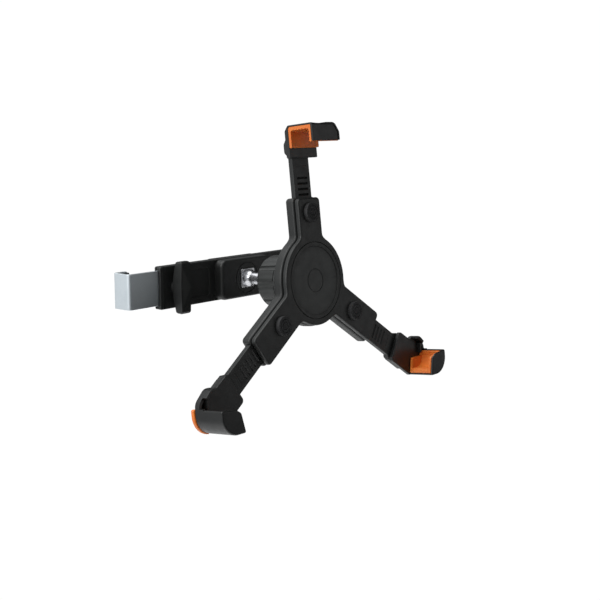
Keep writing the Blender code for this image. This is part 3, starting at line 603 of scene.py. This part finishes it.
def build_hook_liner(side, label):
    low, high = span(f"{label}_hook_liner")
    tip = hook_reach(label)[1]
    far = max(abs(low[0]), abs(high[0]))
    front, back, wall, groove_depth = low[1], high[1], 1.0, 0.35
    corners = [
        (far, front, 0.4),
        (far, back, 0.8),
        (tip, back, 0.45),
        (tip, back - wall, 0.45),
        (far - wall, back - wall, 0.8),
        (far - wall, front, 0.4),
    ]
    liner = prism(mirrored(rounded(corners, 6), side), "Z", low[2], high[2])
    groove_back = back - wall + groove_depth
    for row in range(-4, 5):
        z = row * 2.4
        low_edge, high_edge = (front - 1, z - 0.45), (groove_back, z + 0.45)
        cut(liner, side_box(side, tip - 2, far - wall + groove_depth, low_edge, high_edge))
    show(liner, f"{label}_hook_liner", BAR, f"{label}_hook", RUBBER)


# Wing knobs


def build_knob(side, label):
    low, high = span(f"{label}_knob")
    x = side * abs(JOINTS[f"{label}_knob_turn"]["pos_m"][0]) / MM
    front, back = low[1], high[1]
    half_span, half_width, end_half = high[2], (high[0] - low[0]) / 2, 4.2
    wing_back, hub_half = -15.0, 7.0
    side_view = rounded(
        [
            (front, -half_span, 2.2),
            (front, half_span, 2.2),
            (wing_back, half_span - 0.5, 1.8),
            (back, hub_half, 6.0),
            (back, -hub_half, 6.0),
            (wing_back, -half_span + 0.5, 1.8),
        ],
        10,
    )
    front_view = rounded(
        [
            (x - end_half, -half_span, 2.0),
            (x + end_half, -half_span, 2.0),
            (x + half_width, 0, 14.0),
            (x + end_half, half_span, 2.0),
            (x - end_half, half_span, 2.0),
            (x - half_width, 0, 14.0),
        ],
        10,
    )
    wing = prism(side_view, "X", x - half_width - 1, x + half_width + 1)
    common(wing, prism(front_view, "Y", -40, 0))
    soft(wing, 0.9, 4, 50)
    dish_radius, dish_depth = 22.0, 0.4
    cut(wing, ball((x, front - dish_radius + dish_depth, 0), dish_radius))
    screw_way, way_front = 2.6, -18.5
    cut(wing, prism(circle(screw_way, 32, (x, 0)), "Y", way_front, 0))
    show(wing, f"{label}_knob", BAR, f"{label}_knob", KNOB_PLASTIC)


# Ball joint


def build_ball_stud():
    ball_y = JOINTS["ball_swivel"]["pos_m"][1] / MM
    ball_radius, stem, shank = 10.0, 4.5, 3.0
    block_front = span("bar_front_shell")[0][1]
    flange_back = block_front + 1.5 - GAP
    neck = math.degrees(math.asin(stem / ball_radius))
    profile = [(radius, ball_y + y) for radius, y in arc(ball_radius, 180, neck + 3, 30)]
    profile[0] = (0, ball_y - ball_radius)
    profile += [
        (stem + 0.1, ball_y + 9.4),
        (stem, ball_y + 10.2),
        (stem, -25.0),
        (stem + 0.3, -23.4),
        (stem + 1.0, -22.0),
        (stem + 1.9, -21.2),
        (stem + 1.9, flange_back - 1),
        (shank, flange_back - 1),
    ]
    profile += [(shank, 0.4), (shank - 0.6, 1.0), (0, 1.0)]
    stud = turned(profile, 72)
    flange = soft(box((-7.0, block_front - 1.5, -7.0), (7.0, flange_back, 7.0), 1.0), 0.5, 3)
    join(stud, flange)
    show(stud, "ball_stud", BAR, "bar", STEEL)


def build_socket_collar():
    low, high = span("socket_collar", HOLDER)
    radius, socket, inner = 19.5, 12.2, 15.7
    lip = socket + 2.6
    outside = math.radians(56)
    profile = [
        (inner, low[1]),
        (inner, 1.3),
        (socket * math.sin(math.radians(80)), 1.3),
        *arc(socket, 80, 62, 8),
        (lip * math.sin(outside) - 0.8, high[1] - 0.1),
        (lip * math.sin(outside), high[1]),
        (radius - 3.4, high[1]),
        (radius - 2.2, high[1] - 0.5),
        (radius - 0.6, 6.0),
        (radius, 4.8),
        (radius, -10.8),
        (radius - 0.4, -12.0),
        (radius - 1.5, low[1]),
    ]
    collar = turned(profile, 120)
    flutes = 10
    for number in range(flutes):
        flute = prism(circle(2.6, 24, (radius + 1.4, 0)), "Y", -20, 20)
        cut(collar, turn(flute, 360 / flutes * number))
    cut(collar, ring(radius - 0.5, radius + 2, -9.6, -9.0, 96))
    show(collar, "socket_collar", HOLDER, "collar", KNOB_PLASTIC)


# Hub

MOUTHS = {"top": 60.0, "right": 78.0, "left": 78.0}


def star_outline(half_width, radius, trim):
    """A disc with a straight leg towards each arm, and a fillet where they meet."""
    labels = list(ARM_FRAMES)
    fillet, steps = 4.0, 24
    base = math.sqrt(radius**2 - half_width**2)
    spread = math.degrees(math.asin(half_width / radius))
    corners = []
    for number, label in enumerate(labels):
        degrees = ARM_FRAMES[label][1]
        angle = math.radians(degrees)
        end = MOUTHS[label] - trim
        for across, out, corner in (
            (-half_width, base + 1.2, fillet),
            (-half_width, end, 3.0),
            (half_width, end, 3.0),
            (half_width, base + 1.2, fillet),
        ):
            corners.append(
                (
                    across * math.cos(angle) + out * math.sin(angle),
                    out * math.cos(angle) - across * math.sin(angle),
                    corner,
                )
            )
        following = ARM_FRAMES[labels[(number + 1) % len(labels)]][1]
        sweep = (following - degrees) % 360 - 2 * spread
        for step in range(2, steps - 1):
            turn_angle = math.radians(degrees + spread + sweep * step / steps)
            corners.append((radius * math.sin(turn_angle), radius * math.cos(turn_angle), 0))
    return rounded(corners, 8)


def build_hub_rear():
    low, high = span("hub_rear_shell", HOLDER)
    front_y, back_y, socket_end = low[1], -21.9, high[1]
    socket_outer, socket = 15.4, 12.2
    back = soft(prism(star_outline(12.6, 33.0, 0), "Y", front_y, back_y), 1.6, 4)
    spigot = turned(
        [
            (0, back_y - 1),
            (socket_outer + 6.5, back_y - 1),
            (socket_outer + 6.5, back_y + 1.0),
            (socket_outer + 5.0, back_y + 2.2),
            (socket_outer + 2.6, back_y + 4.2),
            (socket_outer + 1.0, back_y + 6.6),
            (socket_outer, back_y + 8.0),
            (socket_outer, socket_end),
            (0, socket_end),
        ],
        96,
    )
    join(back, spigot)
    cavity = arc(socket, 180, 88, 20)
    cavity[0] = (0, -socket)
    cut(back, turned(cavity + [(socket, 5), (0, 5)], 64))
    blade_half, slot_back, grip_half = 9.3, -24.9, 8.5
    for label, (_, degrees) in ARM_FRAMES.items():
        mouth = MOUTHS[label]
        slot = box((-blade_half, front_y - 3, -2), (blade_half, slot_back, mouth + 9))
        cut(back, turn(slot, degrees))
        for row in range(3):
            z = mouth - 6.0 - 4.0 * row
            groove = box((-grip_half, back_y - 0.5, z - 0.8), (grip_half, back_y + 1, z + 0.8), 0.75)
            cut(back, turn(soft(groove, 0.2, 1), degrees))
    for at in screw_axes("hub_screw", 3, HOLDER):
        cut(back, prism(circle(1.7, 24, at), "Y", -40, 0), prism(circle(3.1, 32, at), "Y", -24.3, -10))
    show(back, "hub_rear_shell", HOLDER, "holder", PLASTIC)


def build_hub_cover():
    low, high = span("hub_front_cover", HOLDER)
    front, back = low[1], high[1]
    cover = soft(prism(star_outline(12.0, 32.4, 0.6), "Y", front, back), 1.2, 4)
    dish = [(0, front + 0.7), (24.0, front + 0.7), (24.8, front + 0.45), (25.2, front - 1), (0, front - 1)]
    cut(cover, turned(dish, 96))
    line_width, line_depth = 0.6, 1.1
    for radius in (27.4, 8.0):
        cut(cover, ring(radius, radius + line_width, front - 1, front + line_depth, 96))
    pad_z, seat_radius, seat_depth = 49.0, 7.3, 0.7
    for _, degrees in ARM_FRAMES.values():
        seat = prism(circle(seat_radius, 48, (0, pad_z)), "Y", front - 1, front + seat_depth)
        spring_room = box((-4.2, back - 2.6, 41.5), (4.2, back + 1, 58.5))
        cut(cover, turn(seat, degrees), turn(spring_room, degrees))
    show(cover, "hub_front_cover", HOLDER, "holder", PLASTIC)


def build_back_pad(label):
    """A round pad with two ring grooves in its face."""
    place = ARM_FRAMES[label][0]
    node = f"{label}_back_pad"
    low, high = span(node, place)
    face, foot, radius, groove_depth = low[1], high[1], 7.0, 0.4
    groove = face + groove_depth
    profile = [(0, face), (2.0, face), (2.2, groove), (2.8, groove), (3.0, face)]
    profile += [(4.2, face), (4.4, groove), (5.0, groove), (5.2, face)]
    profile += [(radius - 0.8, face), (radius - 0.2, face + 0.25), (radius, face + 0.8)]
    profile += [(radius, foot), (0, foot)]
    show(turned(profile, 64, (0, (low[2] + high[2]) / 2)), node, place, "holder", RUBBER)


def build_hub():
    build_hub_rear()
    build_hub_cover()
    for label in ARM_FRAMES:
        build_back_pad(label)
    for number in range(1, 4):
        screw(f"hub_screw_{number}", HOLDER, "holder")


# Arms


SHOULDERS = {"top": 88.5, "right": 108.0, "left": 108.0}


def build_arm(label):
    place = ARM_FRAMES[label][0]
    low, high = span(f"{label}_arm", place)
    tail, reach, front = low[2], high[2], low[1]
    back, boss_y = -25.2, high[1]
    shoulder = SHOULDERS[label]
    blade, end_half, rack_half, pitch, depth = 9.0, 11.5, 5.6, 4.0, 0.8
    rack_end = shoulder - 6
    first = tail + 5
    side_view = [(back, shoulder + 3), (back, tail), (front, tail)]
    for number in range(int((shoulder - 8 - first) // pitch)):
        z = first + number * pitch
        side_view += [(front, z), (front + depth, z + 0.9), (front, z + 1.8)]
    side_view.append((front, shoulder + 3))
    rack = prism(side_view, "X", -rack_half, rack_half)
    outline = rounded(
        [
            (-blade, tail, 1.5),
            (blade, tail, 1.5),
            (blade, shoulder - 0.5, 2.0),
            (end_half, shoulder + 3, 2.0),
            (end_half, reach, 3),
            (-end_half, reach, 3),
            (-end_half, shoulder + 3, 2.0),
            (-blade, shoulder - 0.5, 2.0),
        ]
    )
    arm = soft(prism(outline, "Y", front, back), 0.5, 3)
    cut(arm, box((-rack_half, front - 1, tail - 1), (rack_half, front + 1.2, rack_end)))
    cut(rack, box((-9, front + 2.0, tail - 9), (9, back + 9, shoulder + 9)))
    cut(rack, box((-9, front - 2.0, rack_end - 0.2), (9, back + 9, shoulder + 9)))
    join(arm, rack)
    groove = soft(box((-5, back - 1.2, tail + 5), (5, back + 1, shoulder - 3), 2.0), 0.35, 2)
    cut(arm, groove)
    inner = end_half - 1.5
    boss = soft(box((-inner, back - 1, shoulder + 2), (inner, boss_y, reach - 1.5), 3.0), 1.0, 4)
    join(arm, boss)
    screw_x, screw_z, seat_depth = 6.0, (shoulder + reach) / 2, 1.8
    for x in (-screw_x, screw_x):
        at = (x, screw_z)
        way = prism(circle(1.5, 24, at), "Y", -40, 0)
        cut(arm, way, prism(circle(2.6, 32, at), "Y", boss_y - seat_depth, 0))
    show(arm, f"{label}_arm", place, f"{label}_arm", PLASTIC)


# Claws

SHELL, PLATE_THICK = 1.2, 3.2
SCREW_WAY = 1.3
TOP_LIP_Z = 98.2


def cut_screw_ways(shell, label, plate_front):
    """Drills the claw's two screw holes from behind, and stops short of the plate's front."""
    for at in screw_axes(f"{label}_claw_screw", 2, HOLDER):
        cut(shell, prism(circle(SCREW_WAY, 24, at), "Y", plate_front + 0.7, -20))


def top_claw_front_view():
    """A solid with the top claw's outline from the front, which has its right corner bevelled."""
    low, high = span("top_claw", HOLDER)
    half, top, foot = high[0], high[2], low[2]
    corners = [
        (-half, foot - 5, 0),
        (half, foot - 5, 0),
        (half, top - 7.0, 2.5),
        (half - 5.0, top, 3.0),
        (-half, top, 1.2),
    ]
    return prism(rounded(corners, 12), "Y", -80, 0)


def top_claw_border(half, lip, top, foot):
    """The groove that follows the edge of the lip's front."""
    outer, inner = (
        [
            (-half - 2, foot - 5, 0),
            (half - inset, foot - 5, 0),
            (half - inset, top - 7.0 - 0.3 * inset, 2.5),
            (half - 5.0 - 0.5 * inset, top - inset, 3.0),
            (-half - 2, top - inset, 0),
        ]
        for inset in (1.2, 2.7)
    )
    depth, left_end = 0.5, 7.0
    border = prism(rounded(outer, 12), "Y", lip - 1, lip + depth)
    middle = prism(rounded(inner, 12), "Y", lip - 2, lip + 1)
    return cut(border, middle, box((-30, lip - 2, 80), (left_end, lip + 1, 120)))


def build_top_claw():
    low, high = span("top_claw", HOLDER)
    half, lip, top, foot = high[0], low[1], high[2], low[2]
    plate_back = high[1]
    plate_front, lip_z = plate_back - PLATE_THICK, TOP_LIP_Z
    side_view = rounded(
        [
            (lip, lip_z, 0.5),
            (lip, top, 2.2),
            (plate_front, top, 1.2),
            (plate_back, top - 4.1, 1.2),
            (plate_back, foot, 0.8),
            (plate_front, foot, 0.8),
            (plate_front, top - SHELL - 1.2, 0),
            (plate_front - 1.2, top - SHELL, 0),
            (lip + SHELL, top - SHELL, 1.0),
            (lip + SHELL, lip_z, 0.5),
        ]
    )
    shell = common(prism(side_view, "X", -half - 1, half + 1), top_claw_front_view())
    scoop_x, scoop_radius, scoop_depth = -6.0, 56.0, 0.8
    scoop = prism(circle(scoop_radius, 160, (scoop_x, top + scoop_radius - scoop_depth)), "Y", -80, 0)
    cut(shell, top_claw_border(half, lip, top, foot), scoop)
    cut_screw_ways(shell, "top", plate_front)
    show(soft(shell, 0.3, 2, 50), "top_claw", HOLDER, "top_arm", CLAW_PLASTIC)


def build_top_claw_liner():
    half = span("top_claw", HOLDER)[1][0]
    low, high = span("top_claw_liner", HOLDER)
    lip_z = TOP_LIP_Z - 0.4
    outer_lip, outer_top, back, foot = low[1], high[2], high[1], low[2]
    inner_lip, inner_top, back_front = outer_lip + 1.8, outer_top - 2.6, back - 2.0
    ribs = []
    for number in range(5):
        y = back_front - 2.6 - number * 2.7
        ribs += [(y + 0.6, inner_top, 0), (y + 0.3, inner_top + 0.5, 0), (y - 0.3, inner_top + 0.5, 0)]
        ribs += [(y - 0.6, inner_top, 0)]
    teeth = []
    for number in range(3):
        z = inner_top - 2.2 - number * 2.1
        teeth += [(inner_lip, z + 0.5, 0), (inner_lip - 0.4, z + 0.2, 0), (inner_lip - 0.4, z - 0.2, 0)]
        teeth += [(inner_lip, z - 0.5, 0)]
    side_view = rounded(
        [
            (outer_lip, lip_z, 0.5),
            (outer_lip, outer_top, 0.6),
            (back - 1.2, outer_top, 0),
            (back, outer_top - 1.2, 0),
            (back, foot, 0.7),
            (back_front, foot, 0.7),
            (back_front, inner_top, 1.2),
            *ribs,
            (inner_lip, inner_top, 1.2),
            *teeth,
            (inner_lip, lip_z, 0.7),
        ]
    )
    liner = common(prism(side_view, "X", -half - 1, half + 1), top_claw_front_view())
    show(soft(liner, 0.25, 2, 50), "top_claw_liner", HOLDER, "top_arm", ORANGE)


CORNER_X, CORNER_Z, CORNER_RADIUS = 127.8, -87.4, 13.4
CLAW_INNER_X, CLAW_OPEN_Z = 107.0, -69.5
RIB_Y = -37.0
TONGUES = (((118.0, -84.8), (121.0, -82.8)), ((124.1, -77.3), (125.8, -72.3)))


def lip_outline(side, inset, spread, top_spread):
    """The corner claw from the front: closed sides drawn in by inset, open ones moved out by a spread."""
    low, outer = CORNER_Z + inset, CORNER_X - inset
    corners = [
        (CLAW_INNER_X - spread, low, 1.2),
        (outer, low, CORNER_RADIUS - inset),
        (outer, CLAW_OPEN_Z + top_spread, 1.2),
        (114.0, CLAW_OPEN_Z - 1.6 + top_spread, 3.0),
        (109.9 - spread, CLAW_OPEN_Z - 4.4 + spread, 3.0),
    ]
    return mirrored(rounded(corners, 16), side)


def pocket_outline(side, inset, ribbed=False):
    """The space in the corner claw, run on past its open sides, with grooves in its walls if ribbed."""
    low, outer = CORNER_Z + inset, CORNER_X - inset
    depth = 0.5
    floor, wall = [], []
    if ribbed:
        for number in range(3):
            x = 109.3 + 2.2 * number
            floor += [(x - 0.5, low, 0), (x - 0.3, low - depth, 0)]
            floor += [(x + 0.3, low - depth, 0), (x + 0.5, low, 0)]
        for z in (-73.2, -71.5):
            wall += [(outer, z - 0.4, 0), (outer + depth, z - 0.2, 0)]
            wall += [(outer + depth, z + 0.2, 0), (outer, z + 0.4, 0)]
    corner = (outer, low, CORNER_RADIUS - inset)
    corners = [(60, low, 0), *floor, corner, *wall, (outer, -45, 0), (60, -45, 0)]
    return mirrored(rounded(corners, 16), side)


def plate_outline(side, degrees):
    """The claw's back plate: the corner, and a strap along the arm."""
    half, strap = 12.5, 110.0
    angle = math.radians(abs(degrees))
    along = (strap * math.sin(angle), strap * math.cos(angle))
    across = (-half * math.cos(angle), half * math.sin(angle))
    corners = [
        (CLAW_INNER_X, CORNER_Z, 1.2),
        (CORNER_X, CORNER_Z, CORNER_RADIUS),
        (CORNER_X, CLAW_OPEN_Z + 3.6, 7.0),
        (118.5, -57.4, 7.0),
        (113.2, -57.6, 1.5),
        (110.9, -59.4, 1.0),
        (along[0] + across[0], along[1] + across[1], 3.0),
        (along[0] - across[0], along[1] - across[1], 3.0),
    ]
    return mirrored(rounded(corners, 16), side)


def shoulder_outline(side):
    """A low rib that carries the side wall on round the plate's shoulder."""
    corners = [
        (CORNER_X, CLAW_OPEN_Z - 2.0, 0),
        (CORNER_X, CLAW_OPEN_Z + 3.6, 7.0),
        (118.5, -57.4, 7.0),
        (113.2, -57.6, 0.8),
        (113.2, -59.6, 0.8),
        (117.8, -59.7, 2.0),
        (CORNER_X - 2.2, CLAW_OPEN_Z + 2.2, 2.0),
        (CORNER_X - 2.2, CLAW_OPEN_Z - 2.0, 0),
    ]
    return mirrored(rounded(corners, 10), side)


def claw_depths(label):
    """The lip's front, and the back plate's front and back, on the holder's Y."""
    low, high = span(f"{label}_claw", HOLDER)
    return low[1], high[1] - PLATE_THICK, high[1]


def tongues(side, label, grow):
    """The liner's two tongues through the back plate to its rim, grown where they cut the plate's slots."""
    _, plate_front, plate_back = claw_depths(label)
    front, back = plate_front - GAP - 1, plate_back + GAP + 1
    return [
        side_box(side, near[0] - grow, far[0] + grow, (front, near[1] - grow), (back, far[1] + grow))
        for near, far in TONGUES
    ]


def build_corner_claw(side, label):
    lip_y, plate_front, plate_back = claw_depths(label)
    shell = soft(prism(lip_outline(side, 0, 0, 0), "Y", lip_y, plate_back), 1.1, 5)
    room = soft(prism(pocket_outline(side, SHELL), "Y", lip_y + SHELL, plate_back + 2), 0.4, 2)
    cut(shell, room)
    outline = plate_outline(side, ARM_FRAMES[label][1])
    plate = soft(prism(outline, "Y", plate_front, plate_back), 0.5, 3)
    rib = soft(prism(shoulder_outline(side), "Y", RIB_Y, plate_back - 1), 0.4, 2)
    notch = mirrored([(120.4, -69.2), (130.0, -69.2), (130.0, -55.7), (120.4, -66.2)], side)
    cut(rib, prism(notch, "Y", RIB_Y - 1, plate_front - 1.0))
    web = side_box(side, 120.2, 121.8, (plate_front - 3.0, -71.6), (plate_front + 0.5, -63.8), 0.4)
    pocket = side_box(side, 122.4, 125.6, (plate_front - 1, -69.3), (plate_front + 2.0, -63.4), 0.6)
    cut(plate, pocket)
    join(shell, plate, rib, soft(web, 0.3, 2))
    cut(shell, *tongues(side, label, GAP))
    cut_screw_ways(shell, label, plate_front)
    show(shell, f"{label}_claw", HOLDER, f"{label}_arm", CLAW_PLASTIC)


def build_corner_claw_liner(side, label):
    """The liner lies inside the claw, and its tongues join it to the rim behind the back plate."""
    _, plate_front, plate_back = claw_depths(label)
    low, high = span(f"{label}_claw_liner", HOLDER)
    lip_y, liner_back = low[1], plate_front - GAP
    rim_front, rim_back = plate_back + GAP, high[1]
    clearance = SHELL + GAP
    liner = soft(prism(lip_outline(side, clearance, 0.4, -0.9), "Y", lip_y, liner_back), 0.4, 3)
    hollow = prism(pocket_outline(side, clearance + 3.9, True), "Y", lip_y + 1.8, liner_back - 2.0)
    lowered = side_box(side, 60.0, 122.2, (liner_back - 2.3, CLAW_OPEN_Z - 4.6), (liner_back + 1, -50))
    cut(liner, lowered, prism(shoulder_outline(side), "Y", RIB_Y - GAP, liner_back + 1), hollow)
    rim = soft(prism(lip_outline(side, -0.7, 0, 0), "Y", rim_front, rim_back), 0.8, 4)
    rim_hole = prism(pocket_outline(side, 4.2), "Y", rim_front - 1, rim_back + 1)
    cut(rim, rim_hole, side_box(side, 60.0, 116.8, (rim_front - 1, -100), (rim_back + 1, -50)))
    join(liner, rim)
    join(liner, *tongues(side, label, 0))
    show(liner, f"{label}_claw_liner", HOLDER, f"{label}_arm", ORANGE)


# CAD nodes that are seen as they are


def dress(node, material):
    """Gives a CAD node's own mesh its material."""
    mesh = frame["nodes"][node].data
    mesh.materials.clear()
    mesh.materials.append(material)
    for polygon in mesh.polygons:
        polygon.material_index = 0


# Stage

# Solved from the corners of a tablet that the claws hold.
CAMERA_AT = (-634.7, -603.9, 122.5)
LENS, SENSOR = 69.12, 36.0
HEADING, PITCH = 49.95, -9.21

# Fitted by least squares to measured brightness, and then adjusted.
ROOM_DIM, ROOM_BRIGHT, BACKDROP = 0.03, 0.7, 1.02
SUN_STRENGTH, SIDE_POWER, FRONT_POWER = 1.9, 11.5, 1.65


def build_camera():
    """To the left of the holder's front and a little above the bar, with a level horizon."""
    data = bpy.data.cameras.new("camera")
    data.sensor_width = SENSOR
    data.lens = LENS
    data.clip_end = 100
    camera = bpy.data.objects.new("camera", data)
    bpy.context.scene.collection.objects.link(camera)
    camera.location = [MM * v for v in CAMERA_AT]
    camera.rotation_euler = (math.pi / 2 + math.radians(PITCH), 0, -math.radians(HEADING))
    bpy.context.scene.camera = camera


def area_light(name, at, size, power):
    """A soft box that faces the middle of the bar."""
    data = bpy.data.lights.new(name, "AREA")
    data.shape = "RECTANGLE"
    data.size, data.size_y = size
    data.energy = power
    light = bpy.data.objects.new(name, data)
    bpy.context.scene.collection.objects.link(light)
    light.location = at
    light.rotation_euler = (-Vector(at)).to_track_quat("-Z", "Y").to_euler()


def build_world():
    """A studio that lights from behind and the left, and a white backdrop that only the camera sees."""
    world = bpy.data.worlds.new("studio")
    bpy.context.scene.world = world
    world.use_nodes = True
    nodes, links = world.node_tree.nodes, world.node_tree.links
    place = nodes.new("ShaderNodeTexCoord")
    towards = nodes.new("ShaderNodeVectorMath")
    towards.operation = "DOT_PRODUCT"
    towards.inputs[1].default_value = Vector((-0.75, 0.55, 0.35)).normalized()
    links.new(place.outputs["Generated"], towards.inputs[0])
    spread = nodes.new("ShaderNodeMapRange")
    spread.interpolation_type = "SMOOTHSTEP"
    spread.inputs["From Min"].default_value = -0.5
    spread.inputs["From Max"].default_value = 0.9
    spread.inputs["To Min"].default_value = ROOM_DIM
    spread.inputs["To Max"].default_value = ROOM_BRIGHT
    links.new(towards.outputs["Value"], spread.inputs["Value"])
    room = nodes["Background"]
    links.new(spread.outputs["Result"], room.inputs["Strength"])
    room.inputs["Color"].default_value = (0.96, 0.985, 1, 1)
    backdrop = nodes.new("ShaderNodeBackground")
    backdrop.inputs["Color"].default_value = (1, 1, 1, 1)
    backdrop.inputs["Strength"].default_value = BACKDROP
    path = nodes.new("ShaderNodeLightPath")
    mix = nodes.new("ShaderNodeMixShader")
    links.new(path.outputs["Is Camera Ray"], mix.inputs["Fac"])
    links.new(room.outputs["Background"], mix.inputs[1])
    links.new(backdrop.outputs["Background"], mix.inputs[2])
    links.new(mix.outputs["Shader"], nodes["World Output"].inputs["Surface"])


def build_floor():
    """A pale disc, which lies below the main camera's view."""
    drop, radius = 0.52, 0.75
    bm = bmesh.new()
    bmesh.ops.create_circle(bm, cap_ends=True, segments=96, radius=radius)
    floor = mesh_object("floor", bm)
    floor.location = (0, 0, cad_box[0][2] - drop)
    pale = Finish("floor_white")
    pale.colour(pale.colour_between(pale.noise(3, 2), (0.93, 0.93, 0.93), (0.95, 0.95, 0.95)))
    floor.data.materials.append(pale.set(Roughness=0.9, Specular_IOR_Level=0.1))


def build_sun():
    sun = bpy.data.lights.new("overhead", "SUN")
    sun.energy = SUN_STRENGTH
    sun.angle = math.radians(60)
    overhead = bpy.data.objects.new("overhead", sun)
    bpy.context.scene.collection.objects.link(overhead)
    overhead.rotation_euler = Vector((-0.15, 0.2, 1)).to_track_quat("Z", "Y").to_euler()


def build_stage():
    build_camera()
    build_floor()
    build_world()
    build_sun()
    area_light("side", (-1.3, 0.1, 0.5), (0.7, 0.9), SIDE_POWER)
    area_light("front", (0.95, -1.05, 0.15), (1.2, 0.8), FRONT_POWER)
    bpy.context.scene.view_settings.view_transform = "Standard"


def main():
    sides = ((-1, "left"), (1, "right"))
    build_stage()
    build_bar()
    for side, label in sides:
        build_hook(side, label)
        build_hook_liner(side, label)
        build_knob(side, label)
        dress(f"{label}_clamp_nut", BRASS)
        dress(f"{label}_knob_screw", STEEL)
    build_ball_stud()
    build_socket_collar()
    build_hub()
    build_top_claw()
    build_top_claw_liner()
    for side, label in sides:
        build_corner_claw(side, label)
        build_corner_claw_liner(side, label)
    for label in ARM_FRAMES:
        build_arm(label)
        dress(f"{label}_detent_spring", STEEL)
        for number in (1, 2):
            screw(f"{label}_claw_screw_{number}", HOLDER, f"{label}_arm")
    dress("stud_nut", STEEL)
    dress("ball_pressure_cap", NYLON)
    dress("ball_seat_ring", NYLON)


main()
